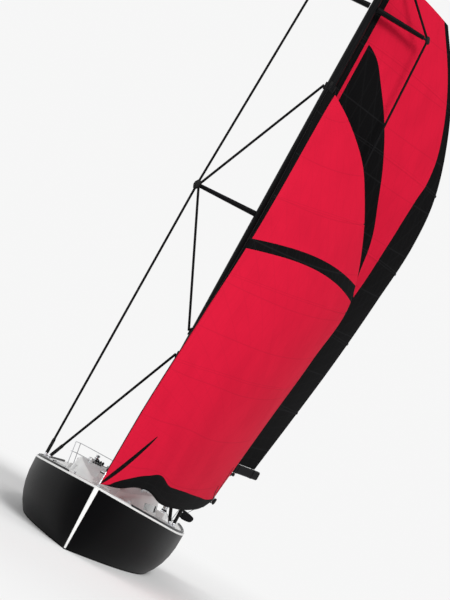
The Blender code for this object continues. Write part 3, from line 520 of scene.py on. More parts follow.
def bellied(luff, leech, base, t, depth, draft):
    """Points of a sail: rows run up the luff, columns from luff to leech. The camber is a
    parabola square to the chord from base, rising to depth at the draft and falling aft."""
    chord = leech - base
    flat = np.stack([chord[:, 1], -chord[:, 0], 0 * chord[:, 0]], axis=1)
    flat /= np.linalg.norm(flat, axis=1)[:, None]
    rise = np.where(t < draft, 1.0 - ((draft - t) / draft) ** 2, 1.0 - ((t - draft) / (1.0 - draft)) ** 2)
    points = luff[:, None] + (leech - luff)[:, None] * t[None, :, None]
    return points + flat[:, None] * (depth[:, None] * rise[None, :])[..., None]


def cloth(name, points, marks, extra, half=0.0022):
    """A closed sheet over a grid of points, thicker by extra, with named marks on it."""
    rows, columns = points.shape[:2]
    normal = np.cross(np.gradient(points, axis=1), np.gradient(points, axis=0))
    normal /= np.linalg.norm(normal, axis=2)[..., None]
    reach = (half + extra)[..., None] * normal
    both = np.concatenate([(points + reach).reshape(-1, 3), (points - reach).reshape(-1, 3)])
    index = np.arange(rows * columns).reshape(rows, columns)
    quads = np.stack([index[:-1, :-1], index[:-1, 1:], index[1:, 1:], index[1:, :-1]], axis=2).reshape(-1, 4)
    ring = np.concatenate([index[0, :], index[1:, -1], index[-1, -2::-1], index[-2:0:-1, 0]])
    after = np.roll(ring, -1)
    far = rows * columns
    rim = np.stack([ring, ring + far, after + far, after], axis=1)
    faces = np.concatenate([quads, quads[:, ::-1] + far, rim])
    mesh = bpy.data.meshes.new(name)
    mesh.from_pydata(both.tolist(), [], faces.tolist())
    for key, values in marks.items():
        mesh.attributes.new(key, "FLOAT", "POINT").data.foreach_set("value", np.tile(values.ravel(), 2))
    smoothed = np.ones(len(faces), bool)
    smoothed[-len(rim):] = False
    mesh.polygons.foreach_set("use_smooth", smoothed)
    return placed(name, mesh)


def flat_area(points):
    """Area of the cloth over a grid of points."""
    one, two = points[1:, 1:] - points[:-1, :-1], points[1:, :-1] - points[:-1, 1:]
    return float(np.linalg.norm(np.cross(one, two), axis=2).sum() / 2.0)


def heights(count, battens, width):
    """Even rows, with four more around each batten pocket to keep its edges crisp."""
    rows = list(np.linspace(0.0, 1.0, count))
    for place in battens:
        rows += [place - width, place - 0.8 * width, place + 0.8 * width, place + width]
    return np.unique(np.round(rows, 6))


def pocket(v, battens, width):
    """1 on the rows of the batten pockets and 0 between them."""
    gap = np.min(np.abs(v[:, None] - np.array(battens)[None, :]), axis=1)
    return (gap < 0.9 * width).astype(float)[:, None]


def sail_marks(points, t, v):
    """Shares across and along the sail, and metres from the luff."""
    span = np.linalg.norm(points[:, -1] - points[:, 0], axis=1)[:, None]
    across, along = np.broadcast_arrays(t[None, :], v[:, None])
    return {"across": across, "along": along, "off_luff": across * span}


def most_of(values):
    """The greatest of some numbers in a material."""
    values = list(values)
    result = values[0]
    for value in values[1:]:
        result = result.most(value)
    return result


def sail_dress(finish, black, battens, panels, fans):
    """Colours a sail, then adds panel joins, batten stitching and fans of load threads.
    Each fan is given by its corner across and up the sail and by how close its threads lie."""
    t, v = finish.attribute("across"), finish.attribute("along")
    join = abs((v * panels + t * (1.0 - t) * 0.4).maths("FRACT") - 0.5).below(0.012)
    stitch = most_of(abs(abs(v - place) - 0.0026).below(0.0006) for place in battens)
    angles = [((t - corner_t) * 0.55).maths("ARCTAN2", (v - corner_v) + 0.0001) * count
              for corner_t, corner_v, count in fans]
    threads = most_of(abs(angle.maths("FRACT") - 0.5).below(0.035) for angle in angles)
    crinkle = finish.noise(1.6, 4.0, (1.0, 1.0, 0.5))
    tone = finish.blend(crinkle.step(0.35, 0.7), SAIL_RED, tuple(0.93 * c for c in SAIL_RED))
    tone = finish.blend(black, tone, SAIL_BLACK)
    lines = (threads * 0.10).most(join * 0.22).most(stitch * 0.3)
    ink = finish.blend(black, (0.33, 0.006, 0.022), (0.028, 0.028, 0.030))
    height = crinkle * 0.7 + threads * 0.04 + join * 0.08
    finish.set(Base_Color=finish.blend(lines, tone, ink), Roughness=0.66 + crinkle * 0.12,
               Specular_IOR_Level=0.04, Normal=finish.bump(height, 0.25, 0.01))


t = np.linspace(0.0, 1.0, 90)
v = heights(170, jib_battens, JIB_POCKET)
low, high = np.array(TACK), np.array(HOUND)
place = LUFF_START + LUFF_SHARE * v
stay = low + (high - low) * place[:, None]
stay[:, 1] += STAY_SAG * np.sin(np.pi * np.maximum(0.0, (place - 0.15) / 0.85)) ** 1.5
leech = np.stack([smooth(JIB, k, v) for k in (1, 2, 3)], axis=1)
width = np.linalg.norm(leech - stay, axis=1)
depth = JIB_CAMBER * width * (0.45 + 0.55 * np.sin(np.pi * np.minimum(v * 1.15, 1.0)))
chord = (leech - stay) / width[:, None]
points = bellied(stay + chord * STAY_RADIUS, leech, stay, t, depth, JIB_DRAFT)
points[..., 2] -= smooth(FOOT_SAG, 1, t)[None, :] * ((1 - v) ** 6)[:, None]
marks = sail_marks(points, t, v)
marks["above_foot"] = points[..., 2] - points[:1, :, 2]
extra = 0.003 * pocket(v, jib_battens, JIB_POCKET) * (t > 0.72)[None, :]
extra = extra + 0.0016 * ((t > 0.988) | (t < 0.012))[None, :] + 0.0012 * (v < 0.012)[:, None]
jib_cloth = cloth("jib_cloth", points, marks, extra)
jib_grid, jib_rows = points, v
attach(jib_cloth, "root")
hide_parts("jib")
flat_area(points)
jib_laminate = Finish("jib_laminate")
across, along = jib_laminate.attribute("across"), jib_laminate.attribute("along")
middle = 0.598 + across * 0.066 - across * across * 0.096
stripe = (0.0125 + across * across * across * 0.006) - abs(along - middle)
tape = (along - TAPE_START) * TAPE_WIDENING - jib_laminate.attribute("off_luff")
# black panel along the foot: painted shade where the cloth curls under
foot = jib_laminate.curve(across, FOOT_SHADE_PANEL) - jib_laminate.attribute("above_foot")
# black streak up from the tack: painted shade in a crease of the cloth
share = along / CREASE_SHADE_TOP
crease_shade = (share * (1.0 - share) * 4.0).most(0.0).maths("SQRT") * 0.074
crease_shade = crease_shade - abs(along - (across * 0.65 + across * across * 2.3)) * 5.9
black = most_of(mark.above(0.0) for mark in (stripe, tape, foot, crease_shade))
sail_dress(jib_laminate, black, jib_battens, 9.0, ((1.0, 0.0, 16.0), (0.0, 0.0, 16.0), (0.2, 1.02, 30.0)))
jib_cloth.data.materials.append(jib_laminate.material)


# ------------------------------------------------------------------ Mainsail
# The same laminate with a square head and five full length battens, hung on cars
# on the mast and swinging with the boom. It is painted black below a sweeping arc,
# for the jib's shadow on it, and down the leech, for the shade on its turned-away edge;
# it is red above the arc and in a narrow strip beside the black luff.
MAIN = np.array([
    # height share, leech x, leech y, camber
    (0.00, -3.33, 2.90, 0.012),
    (0.13, -3.12, 3.14, 0.070),
    (0.29, -2.70, 3.41, 0.095),
    (0.44, -2.24, 3.60, 0.105),
    (0.58, -1.76, 3.73, 0.105),
    (0.66, -1.47, 3.68, 0.100),
    (0.80, -0.93, 3.20, 0.090),
    (0.92, -0.42, 2.48, 0.080),
    (1.00, -0.04, 1.80, 0.070),
])
MAIN_LUFF_X, MAIN_TACK_Z, MAIN_LUFF_LONG, MAIN_CLEW_Z, MAIN_LEECH_LONG = 1.17, 3.225, 12.975, 3.645, 12.255
MAIN_DRAFT, MAIN_POCKET = 0.45, 0.0028
main_battens = (0.15, 0.33, 0.51, 0.69, 0.86)
# share up, share across where the painted shadow of the jib below the arc ends and the painted shade down the
# leech begins
SHADOW_ARC = ((0.0, 1.0), (0.40, 0.80), (0.447, 0.725), (0.531, 0.66), (0.606, 0.569), (0.678, 0.488),
       (0.745, 0.396), (0.807, 0.271), (0.836, 0.198), (0.852, 0.118), (0.870, 0.0), (1.0, 0.0))
LEECH_SHADE_EDGE = ((0.0, 0.80), (0.106, 0.788), (0.259, 0.772), (0.406, 0.773), (0.456, 0.784),
              (0.553, 0.793), (0.65, 0.833), (0.70, 0.883), (0.78, 0.925), (1.0, 0.91))
LUFF_BLACK, STRIP_EDGE = 0.235, 0.315
t = np.linspace(0.0, 1.0, 100)
v = heights(200, main_battens, MAIN_POCKET)
luff = np.stack([0 * v + MAIN_LUFF_X, 0 * v, MAIN_TACK_Z + MAIN_LUFF_LONG * v], axis=1)
leech = np.stack([smooth(MAIN, 1, v), smooth(MAIN, 2, v), MAIN_CLEW_Z + MAIN_LEECH_LONG * v], axis=1)
depth = smooth(MAIN, 3, v) * np.linalg.norm(leech - luff, axis=1)
points = bellied(luff, leech, luff, t, depth, MAIN_DRAFT)
marks = sail_marks(points, t, v)
extra = 0.003 * pocket(v, main_battens, MAIN_POCKET) * (t > 0.03)[None, :]
extra = extra + 0.0016 * ((t > 0.99) | (t < 0.01))[None, :] + 0.0012 * ((v < 0.01) | (v > 0.992))[:, None]
main_cloth = cloth("mainsail_cloth", points, marks, extra)
main_grid, main_rows = points, v
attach(main_cloth, "boom")
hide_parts("mainsail")
flat_area(points)
main_laminate = Finish("mainsail_laminate")
across, along = main_laminate.attribute("across"), main_laminate.attribute("along")
# black below the arc is the jib's shadow on the main, painted in
jib_shadow_arc, leech_shade_edge = main_laminate.curve(along, SHADOW_ARC), main_laminate.curve(along, LEECH_SHADE_EDGE)
off_luff = main_laminate.attribute("off_luff")
strip = off_luff.above(LUFF_BLACK) * off_luff.below(STRIP_EDGE)
# black down the leech is painted shade where the sail turns away from the light
black = most_of([across.below(jib_shadow_arc), across.above(leech_shade_edge), off_luff.below(STRIP_EDGE)]) * (1.0 - strip)
sail_dress(main_laminate, black, main_battens, 10.0, ((1.0, 0.0, 18.0), (0.0, 0.0, 18.0), (0.3, 1.05, 34.0)))
main_cloth.data.materials.append(main_laminate.material)


# ------------------------------------------------------------------ Shroud ends and spreader boots
# Each shroud ends in a steel rigging screw under a black sleeve at its plate and in
# a black tang riveted to the mast; rubber boots cover it where it bends at a spreader.
def circle(count, start=0.0):
    """Even angles round a circle."""
    return [2.0 * math.pi * (k + start) / count for k in range(count)]


def bevelled(a, b, c):
    """The eight corners of a box of half sizes a and b whose edges are cut back by c."""
    return ((a, c - b), (a, b - c), (a - c, b), (c - a, b),
            (-a, b - c), (-a, c - b), (c - a, -b), (a - c, -b))


def mirrored(*half):
    """A profile of heights and radii that is the same at both ends, given from one end inwards."""
    return [(-h, r) for h, r in half] + [(h, r) for h, r in reversed(half)]


class Fitting:
    """Bars, blocks and turned pieces gathered into one mesh."""

    def __init__(self):
        self.points, self.faces = [], []

    def rows(self, rows, closed=False):
        """A skin over rows of points, closed on itself or capped at both ends."""
        first, n, count = len(self.points), len(rows[0]), len(rows)
        self.points += [tuple(p) for row in rows for p in row]
        for i in range(count if closed else count - 1):
            a, b = first + i * n, first + (i + 1) % count * n
            self.faces += [(a + j, a + (j + 1) % n, b + (j + 1) % n, b + j) for j in range(n)]
        if not closed:
            last = first + (count - 1) * n
            self.faces += [tuple(range(first + n - 1, first - 1, -1)), tuple(range(last, last + n))]

    def bar(self, path, radius, sides=8, closed=False, flat=1.0, side=None):
        """A bar along a path; flat squeezes it square to side, and radius may vary."""
        path, rows = [Vector(p) for p in path], []
        for i, p in enumerate(path):
            after = path[(i + 1) % len(path)] if closed or i + 1 < len(path) else p
            before = path[i - 1] if closed or i else p
            along = (after - before).normalized()
            side = Vector(side) if side is not None else along.orthogonal()
            side = (side - along * side.dot(along)).normalized()
            other = along.cross(side)
            r = radius[i] if isinstance(radius, (tuple, list)) else radius
            rows.append([p + side * (r * math.cos(a)) + other * (r * flat * math.sin(a))
                         for a in circle(sides, 0.5)])
        self.rows(rows, closed)

    def block(self, centre, size, along=(1.0, 0.0, 0.0), up=(0.0, 0.0, 1.0)):
        """A box of half sizes with bevelled edges, turned so that it lies along a line."""
        centre, x, z = Vector(centre), Vector(along).normalized(), Vector(up)
        z = (z - x * z.dot(x)).normalized()
        y, (a0, b0, h), c = z.cross(x), size, 0.22 * min(size)
        rows = []
        for lift, inset in ((-h, c), (c - h, 0.0), (h - c, 0.0), (h, c)):
            ring = bevelled(a0 - inset, b0 - inset, c)
            rows.append([centre + x * p + y * q + z * lift for p, q in ring])
        self.rows(rows)

    def turned(self, profile, place, axis=(0.0, 0.0, 1.0), sides=20):
        """A turned piece: pairs of height along the axis and radius."""
        axis, place = Vector(axis).normalized(), Vector(place)
        side = axis.orthogonal().normalized()
        other = axis.cross(side)
        spokes = [side * math.cos(a) + other * math.sin(a) for a in circle(sides)]
        self.rows([[place + axis * h + spoke * r for spoke in spokes] for h, r in profile])

    def ring(self, centre, normal, radius, wire, sides=24):
        """A round ring of wire."""
        normal, centre = Vector(normal).normalized(), Vector(centre)
        side = normal.orthogonal().normalized()
        other = normal.cross(side)
        spokes = [side * (radius * math.cos(a)) + other * (radius * math.sin(a)) for a in circle(sides)]
        self.bar([centre + spoke for spoke in spokes], wire, 8, True, side=side)

    def done(self, name, body, finish, angle=38.0):
        """Makes the mesh, with its sharp edges kept, and hangs it on a body if one is named."""
        mesh = bpy.data.meshes.new(name)
        mesh.from_pydata(self.points, [], self.faces)
        bm = bmesh.new()
        bm.from_mesh(mesh)
        bmesh.ops.recalc_face_normals(bm, faces=bm.faces)
        bm.to_mesh(mesh)
        bm.free()
        mesh.polygons.foreach_set("use_smooth", np.ones(len(mesh.polygons), bool))
        mesh.set_sharp_from_angle(angle=math.radians(angle))
        mesh.materials.append(finish.material)
        obj = placed(name, mesh)
        if body:
            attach(obj, body)
        return obj


MAST_X, MAST_LONG, MAST_HALF, SWEEP, CAP_Y, LOWER_Y = 1.40, 0.160, 0.115, 0.26, 1.800, 1.700
SPREADER_Z, SPREADER_TIP, STRUT_TIP = 9.17, 1.760, 1.71
UPPER_Z, UPPER_TIP = 15.10, 1.555
LOWER_TANG_Z = 5.20
# height of each tang, share of the mast's half width there
TANGS = ((LOWER_TANG_Z, 1.0), (5.85, 1.0), (12.81, 1.0), (16.46, 0.72))


def spots_of(node):
    """The corners of a modelled node, one a row."""
    return np.array([v.co[:] for v in bpy.data.objects[node].data.vertices])


def swept(reach, sign, z):
    """A point out along the line of the swept spreaders."""
    return Vector((MAST_X - SWEEP * reach, sign * reach, z))


rubber = mottled("black_rubber", (24.0, 4.0), (0.0045, 0.0045, 0.0048), (0.012, 0.012, 0.012), 0.62, 0.15,
                 Specular_IOR_Level=0.15)
screws, boots = Fitting(), Fitting()
for side, sign in SIDES:
    foot_z = spots_of("chainplate_" + side)[:, 2].max() + 0.02
    tip, high_tip = swept(SPREADER_TIP, sign, SPREADER_Z), swept(UPPER_TIP, sign, UPPER_Z)
    cap_foot = swept(CAP_Y, sign, foot_z)
    lower_foot = Vector((cap_foot.x + 0.045, sign * LOWER_Y, foot_z))
    lower_head = Vector((MAST_X, sign * (MAST_HALF + 0.037), LOWER_TANG_Z))
    for foot, head in ((cap_foot, tip), (lower_foot, lower_head)):
        along = (head - foot).normalized()
        screws.turned(((-0.030, 0.036), (-0.004, 0.040), (0.050, 0.040), (0.060, 0.036)), foot, along, 16)
        boots.turned(((0.060, 0.037), (0.075, 0.043), (0.42, 0.043), (0.47, 0.034)), foot, along, 16)
    for z, share in TANGS:
        boots.block((MAST_X, sign * (MAST_HALF * share + 0.012), z), (0.055, 0.016, 0.095))
    boots.turned(mirrored((0.13, 0.034), (0.10, 0.052), (0.04, 0.085)), tip, (0.004, -sign * 0.1, 1.0), 20)
    boots.turned(mirrored((0.10, 0.034), (0.06, 0.058)), high_tip, (0.0, -sign * 0.4, 1.0), 20)
    boots.bar((high_tip + Vector((0.030, -sign * 0.120, 0.0)), high_tip), (0.040, 0.030), 12)
    strut = swept(STRUT_TIP, sign, SPREADER_Z) + Vector((0.123, 0.0, 0.0))
    boots.turned(mirrored((0.09, 0.034), (0.06, 0.050)), strut, sides=16)
    boots.block(strut - Vector((0.045, 0.0, 0.0)), (0.050, 0.025, 0.028))
screws.done("shroud_fittings", "root", steel)
boots.done("spreader_boots", "root", rubber)

# ------------------------------------------------------------------ Stem and forestay ends
# The forestay ends in a slim steel terminal pinned between two cheeks on the stem
# plate, and in a black eye on the front of the mast.
TACK_AT, HOUND_AT = Vector(TACK), Vector(HOUND)
PIN_AT = Vector((TACK[0], 0.0, 1.622))
along = (HOUND_AT - TACK_AT).normalized()
stem = Fitting()
stem.turned(((-0.004, 0.012), (0.0, 0.014), (0.16, 0.014), (0.17, 0.0115), (0.34, 0.0115)),
            TACK_AT, along, 14)
stem.bar((PIN_AT - Vector((0.0, 0.030, 0.0)), PIN_AT + Vector((0.0, 0.030, 0.0))), 0.007, 12)
for sign in (1, -1):
    stem.block(PIN_AT + Vector((-0.010, sign * 0.017, 0.006)), (0.020, 0.004, 0.022))
stem.done("stem_fittings", "root", steel)
eye = Fitting()
eye.block((MAST_X + MAST_LONG + 0.010, 0.0, HOUND_Z - 0.02), (0.016, 0.030, 0.11))
eye.ring(HOUND_AT - along * 0.02, (0.0, 1.0, 0.0), 0.020, 0.007)
eye.done("forestay_eye", "root", rubber)

# ------------------------------------------------------------------ Deck fittings
# Steel mooring cleats, grab rails, jib tracks and hinges are bolted through the deck,
# and black rope clutches and turning blocks stand in line with the halyards.
DECK = bpy.data.objects["deck"].data
surface = BVHTree.FromPolygons([v.co for v in DECK.vertices], [p.vertices for p in DECK.polygons])


def on_deck(x, y, lift=0.0):
    """The point of the deck below a place, raised by lift."""
    return surface.ray_cast(Vector((x, y, 4.0)), Vector((0.0, 0.0, -1.0)))[0] + Vector((0.0, 0.0, lift))


repeat_tree = bpy.data.node_groups.new("repeat_along_path", "GeometryNodeTree")
repeat_tree.is_modifier = True
for title, kind in (("Path", "Geometry"), ("Piece", "Object"), ("Spacing", "Float"), ("Finish", "Material")):
    repeat_tree.interface.new_socket(title, in_out="INPUT", socket_type="NodeSocket" + kind)
repeat_tree.interface.new_socket("Mesh", in_out="OUTPUT", socket_type="NodeSocketGeometry")
entry, leave = repeat_tree.nodes.new("NodeGroupInput"), repeat_tree.nodes.new("NodeGroupOutput")
to_curve, evenly, pattern, copies, plain, coat = [repeat_tree.nodes.new("GeometryNode" + kind) for kind in (
    "MeshToCurve", "ResampleCurve", "ObjectInfo", "InstanceOnPoints", "RealizeInstances", "SetMaterial")]
evenly.mode = "LENGTH"
for source, out_name, target, in_name in (
    (entry, "Path", to_curve, "Mesh"),
    (to_curve, "Curve", evenly, "Curve"),
    (entry, "Spacing", evenly, "Length"),
    (entry, "Piece", pattern, "Object"),
    (evenly, "Curve", copies, "Points"),
    (pattern, "Geometry", copies, "Instance"),
    (copies, "Instances", plain, "Geometry"),
    (plain, "Geometry", coat, "Geometry"),
    (entry, "Finish", coat, "Material"),
    (coat, "Geometry", leave, "Mesh"),
):
    repeat_tree.links.new(source.outputs[out_name], target.inputs[in_name])


def repeat_along(name, body, paths, spacing, piece, finish):
    """Copies a small piece evenly along some paths and makes the result one plain mesh."""
    pattern = piece.done(name + "_pattern", None, finish)
    points, edges = [], []
    for path in paths:
        edges += [(len(points) + k, len(points) + k + 1) for k in range(len(path) - 1)]
        points += [tuple(p) for p in path]
    mesh = bpy.data.meshes.new(name)
    mesh.from_pydata(points, edges, [])
    obj = placed(name, mesh)
    modifier = obj.modifiers.new("repeat", "NODES")
    modifier.node_group = repeat_tree
    sockets = {item.name: item.identifier for item in repeat_tree.interface.items_tree}
    for title, value in (("Piece", pattern), ("Spacing", spacing), ("Finish", finish.material)):
        modifier[sockets[title]] = value
    bpy.context.view_layer.update()
    made = bpy.data.meshes.new_from_object(obj.evaluated_get(bpy.context.evaluated_depsgraph_get()))
    obj.modifiers.clear()
    obj.data = made
    bpy.data.objects.remove(pattern)
    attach(obj, body)


def rail_top(side):
    """The line along the top of a toe rail, from the stern forward."""
    spots = np.unique(np.round(spots_of("toe_rail_" + side), 4), axis=0)
    groups = np.split(spots, np.flatnonzero(np.diff(spots[:, 0]) > 0.06) + 1)
    return [group[np.argsort(group[:, 2])[-2:]].mean(axis=0) for group in groups if len(group) >= 4]


CENTRE = (0.0, 0.0, 0.0)
bolt = Fitting()
bolt.turned(((-0.003, 0.0075), (0.0015, 0.0075), (0.003, 0.0050)), CENTRE, sides=10)
repeat_along("toe_rail_bolts", "root", [rail_top(side) for side, sign in SIDES], 0.20, bolt, steel)

# cleats: x, y, degrees turned; horns: reach from the middle, radius
CLEATS = ((4.30, 0.72, 18.0), (0.35, 1.84, 4.0), (-5.72, 1.44, -10.0))
HORNS = ((-0.13, 0.006), (-0.09, 0.011), (0.0, 0.013), (0.09, 0.011), (0.13, 0.006))
# grab rail feet and halyard blocks at the mast: x, y
GRAB_RAIL = ((1.30, 0.74), (0.62, 0.83), (-0.05, 0.885), (-0.72, 0.90), (-1.90, 0.90))
GRAB_FORE, GRAB_AFT = (1.40, 0.735), (-2.00, 0.90)
MAST_BLOCKS = ((1.22, 0.16), (1.34, 0.22), (1.50, 0.24))
ORGANISER_X, CLUTCH_X, CLUTCHES = 0.72, -1.02, 4
JIB_TRACK_Y, JIB_LEAD_X, JIB_TRACK_FORE, JIB_TRACK_AFT = 1.66, -1.10, -0.40, -2.20


def sheave_box(sign, k, lift):
    """The place of the k-th sheave of the deck organiser, out from the middle."""
    return on_deck(ORGANISER_X, sign * (0.50 + 0.062 * k), lift)


def clutch(sign, k, ahead, lift):
    """A place on the k-th rope clutch, out from the middle."""
    return on_deck(CLUTCH_X + ahead, sign * (0.56 + 0.065 * k), lift)


gear, bolts = Fitting(), Fitting()
for x, y, turn in CLEATS:
    for sign in (1, -1):
        seat = on_deck(x, sign * y)
        along = Vector((math.cos(math.radians(turn)), -sign * math.sin(math.radians(turn)), 0.0))
        for shift in (-0.045, 0.045):
            bolts.turned(((-0.01, 0.020), (0.006, 0.018), (0.012, 0.011), (0.050, 0.011)),
                         seat + along * shift, sides=12)
        horn = [seat + along * reach + Vector((0.0, 0.0, 0.056 + abs(reach) * 0.08)) for reach, r in HORNS]
        bolts.bar(horn, [r for reach, r in HORNS], 10)
for sign in (1, -1):
    grab = [on_deck(x, sign * y, 0.062) for x, y in GRAB_RAIL]
    fore, aft = [on_deck(x, sign * y, -0.01) for x, y in (GRAB_FORE, GRAB_AFT)]
    bolts.bar([fore] + grab + [aft], 0.0125, 10)
    for p in grab[1:-1]:
        bolts.bar((p, (p.x, p.y, p.z - 0.070)), 0.010, 8)
    rail = [on_deck(x, sign * JIB_TRACK_Y, 0.010) for x in np.linspace(JIB_TRACK_AFT, JIB_TRACK_FORE, 4)]
    bolts.bar(rail, 0.016, 8, flat=0.75, side=(0.0, 1.0, 0.0))
    for x in (JIB_LEAD_X, JIB_TRACK_FORE):
        gear.block(on_deck(x, sign * JIB_TRACK_Y, 0.030), (0.030, 0.022, 0.012))
    for k in range(CLUTCHES):
        gear.block(clutch(sign, k, 0.0, 0.032), (0.085, 0.026, 0.036))
        gear.bar((clutch(sign, k, 0.04, 0.075), clutch(sign, k, -0.08, 0.082)), 0.009, 8)
        gear.turned(((0.0, 0.028), (0.034, 0.028)), sheave_box(sign, k, 0.004), sides=14)
    for x, y in MAST_BLOCKS:
        seat = on_deck(x, sign * y, 0.055)
        gear.turned(mirrored((0.034, 0.006), (0.02, 0.030)), seat, (0.5, sign * 0.5, 0.0), 16)
        bolts.bar((on_deck(x, sign * y, -0.01), seat), 0.009, 8)
for node in both("winch_primary_", "winch_cabin_"):
    spots = spots_of(node)
    radius = np.ptp(spots[:, 0]) / 2.0
    head = Vector((*(spots.max(axis=0) + spots.min(axis=0))[:2] / 2.0, spots[:, 2].max()))
    bolts.turned(((-0.004, 0.70 * radius), (0.006, 0.78 * radius), (0.012, 0.74 * radius),
                  (0.016, 0.30 * radius)), head, sides=28)
    gear.turned(((0.010, 0.20 * radius), (0.0185, 0.20 * radius)), head, sides=8)
    gear.block(head + Vector((0.55 * radius, 0.0, -0.006)), (0.34 * radius, 0.010, 0.006))
bolts.done("deck_steelwork", "root", steel)
gear.done("clutches_and_blocks", "root", rubber)
# node, x of its hinges, how far each stands from the middle, offset of the pin
for node, x, apart, pin in (("fore_hatch", 2.78, 0.17, 0.028), ("anchor_lid", 4.64, 0.12, -0.028)):
    lid_top = spots_of(node)[:, 2].max()
    hinges = Fitting()
    for y in (apart, -apart):
        hinges.block((x, y, lid_top + 0.004), (0.028, 0.020, 0.006))
        hinges.bar([(x + pin, y + end, lid_top + 0.006) for end in (-0.03, 0.03)], 0.008, 10)
    hinges.done(node + "_hinges", node, steel)
HANDLE_X, HANDLE_LONG = 2.33, 0.07
handles = Fitting()
lid_top = spots_of("fore_hatch")[:, 2].max()
for y in (0.15, -0.15):
    foot = Vector((HANDLE_X, y, lid_top + 0.002))
    handles.turned(((-0.004, 0.024), (0.010, 0.024), (0.016, 0.018)), foot, sides=16)
    handles.bar((foot + Vector((0.0, 0.0, 0.014)), foot + Vector((HANDLE_LONG, 0.0, 0.016))), 0.009, 8,
                flat=0.6)
handles.done("fore_hatch_handles", "fore_hatch", rubber)
GRIP_X, GRIP_FOOT, GRIP_TOP = -2.24, 1.968, 1.995
slide = Fitting()
slide.bar([(GRIP_X, y, z) for y, z in ((-0.16, GRIP_FOOT), (-0.13, GRIP_TOP), (0.13, GRIP_TOP),
                                       (0.16, GRIP_FOOT))], 0.010, 10)
slide.done("companion_hatch_grip", "companion_hatch", steel)

# ------------------------------------------------------------------ Cockpit gear
# The pedestal carries a domed compass, an engine lever and a guard rail; the
# traveller car has end stops on its track, and the stern rail a small white light.
PEDESTAL_X, PEDESTAL_TOP, TRAVELLER_X, STERN_LIGHT = -4.52, 1.525, -3.37, (-5.96, 0.0, 2.030)
# the guard's port half: x, y, z
GUARD = ((-4.40, 0.085, 1.10), (-4.32, 0.110, 1.18), (-4.30, 0.120, 1.56), (-4.32, 0.090, 1.66))
column = Fitting()
column.turned(((-0.01, 0.074), (0.03, 0.074), (0.04, 0.062)), (PEDESTAL_X, 0.0, PEDESTAL_TOP), sides=24)
column.block((PEDESTAL_X, -0.100, 1.30), (0.035, 0.022, 0.045))
column.bar(((PEDESTAL_X, -0.118, 1.31), (PEDESTAL_X + 0.02, -0.124, 1.40), (PEDESTAL_X + 0.05, -0.124, 1.46)),
           (0.009, 0.008, 0.013), 10)
for sign in (-1, 1):
    column.block((TRAVELLER_X, sign * 0.52, 0.656), (0.034, 0.020, 0.018))
    column.block((STERN_LIGHT[0], sign * 0.02, STERN_LIGHT[2] - 0.018), (0.020, 0.018, 0.020))
column.done("cockpit_fittings", "root", rubber)
guard = Fitting()
guard.bar(list(GUARD) + [(x, -y, z) for x, y, z in reversed(GUARD)], 0.0125, 10)
guard.done("pedestal_guard", "root", steel)
clear = Finish("clear_dome")
haze = clear.noise(30.0, 2.0)
clear.set(Base_Color=(0.9, 0.92, 0.92, 1.0), Transmission_Weight=0.9, Roughness=0.03 + haze * 0.04, IOR=1.45)
dome = Fitting()
dome.turned(((0.0, 0.058), (0.018, 0.055), (0.036, 0.044), (0.048, 0.026), (0.053, 0.006)),
            (PEDESTAL_X, 0.0, PEDESTAL_TOP + 0.037), sides=24)
dome.turned(((0.0, 0.018), (0.020, 0.018), (0.030, 0.010)), STERN_LIGHT, sides=16)
dome.done("compass_dome_and_light", "root", clear)

# ------------------------------------------------------------------ Mast fittings
# A steel track runs up the aft face and carries black cars for the mainsail's luff; at
# the masthead are the halyard crane, a wind vane on its rod and an all round light.
MAST_TOP, BEND_Z = 16.60, 15.40
LUFF_FOOT, LUFF_HEAD, CAR_GAP = 3.42, 16.08, 0.90


def aft_face(z):
    """How far aft the mast reaches at a height; it tapers above the forestay."""
    return MAST_X - MAST_LONG * float(np.interp(z, (HOUND_Z, BEND_Z, MAST_TOP), (1.0, 0.86, 0.72)))


def up_mast(low, high, behind):
    """A line up the aft face of the mast, a little way behind it."""
    return [(aft_face(z) + behind, 0.0, z) for z in (low, HOUND_Z, BEND_Z, high)]


def at_masthead(x, y, lift):
    """A place above the mast's cap."""
    return Vector((MAST_X + x, y, MAST_TOP + lift))


track, vane = Fitting(), Fitting()
track.bar(up_mast(3.30, 16.50, 0.001), 0.013, 8, flat=0.55, side=(0.0, 1.0, 0.0))
car = Fitting()
car.block(CENTRE, (0.020, 0.017, 0.045))
repeat_along("mast_cars", "root", [up_mast(LUFF_FOOT, LUFF_HEAD, -0.022)], CAR_GAP, car, rubber)
tongue = Fitting()
tongue.bar((CENTRE, (0.052, 0.0, 0.0)), 0.013, 8, flat=0.35, side=(0.0, 0.0, 1.0))
tongue_line = [(MAIN_LUFF_X + 0.014, 0.0, z) for z in (LUFF_FOOT, LUFF_HEAD)]
repeat_along("mast_car_tongues", "root", [tongue_line], CAR_GAP, tongue, steel)
screw = Fitting()
screw.turned(((-0.004, 0.0045), (0.001, 0.0045)), CENTRE, (-1.0, 0.0, 0.0), 8)
repeat_along("mast_track_screws", "root", [up_mast(LUFF_FOOT, LUFF_HEAD, -0.007)], 0.15, screw, steel)
track.block(at_masthead(0.0, 0.0, 0.012), (0.135, 0.045, 0.016))
track.turned(mirrored((0.014, 0.034)), at_masthead(-0.115, 0.0, 0.03), (0.0, 1.0, 0.0), 16)
track.bar((at_masthead(0.09, 0.04, 0.02), at_masthead(0.09, 0.04, 0.40)), 0.004, 6)
track.bar((at_masthead(-0.01, -0.04, 0.02), at_masthead(-0.01, -0.04, 0.35)), 0.003, 6)
track.done("mast_track_and_crane", "root", steel)
vane.block(at_masthead(0.10, 0.04, 0.40), (0.075, 0.004, 0.016))
vane.turned(((0.0, 0.026), (0.03, 0.026)), at_masthead(0.03, 0.0, 0.026), sides=16)
vane.done("wind_vane", "root", rubber)
lamp = Fitting()
lamp.turned(((0.0, 0.022), (0.045, 0.022), (0.055, 0.014)), at_masthead(0.03, 0.0, 0.056), sides=16)
lamp.done("masthead_light", "root", clear)

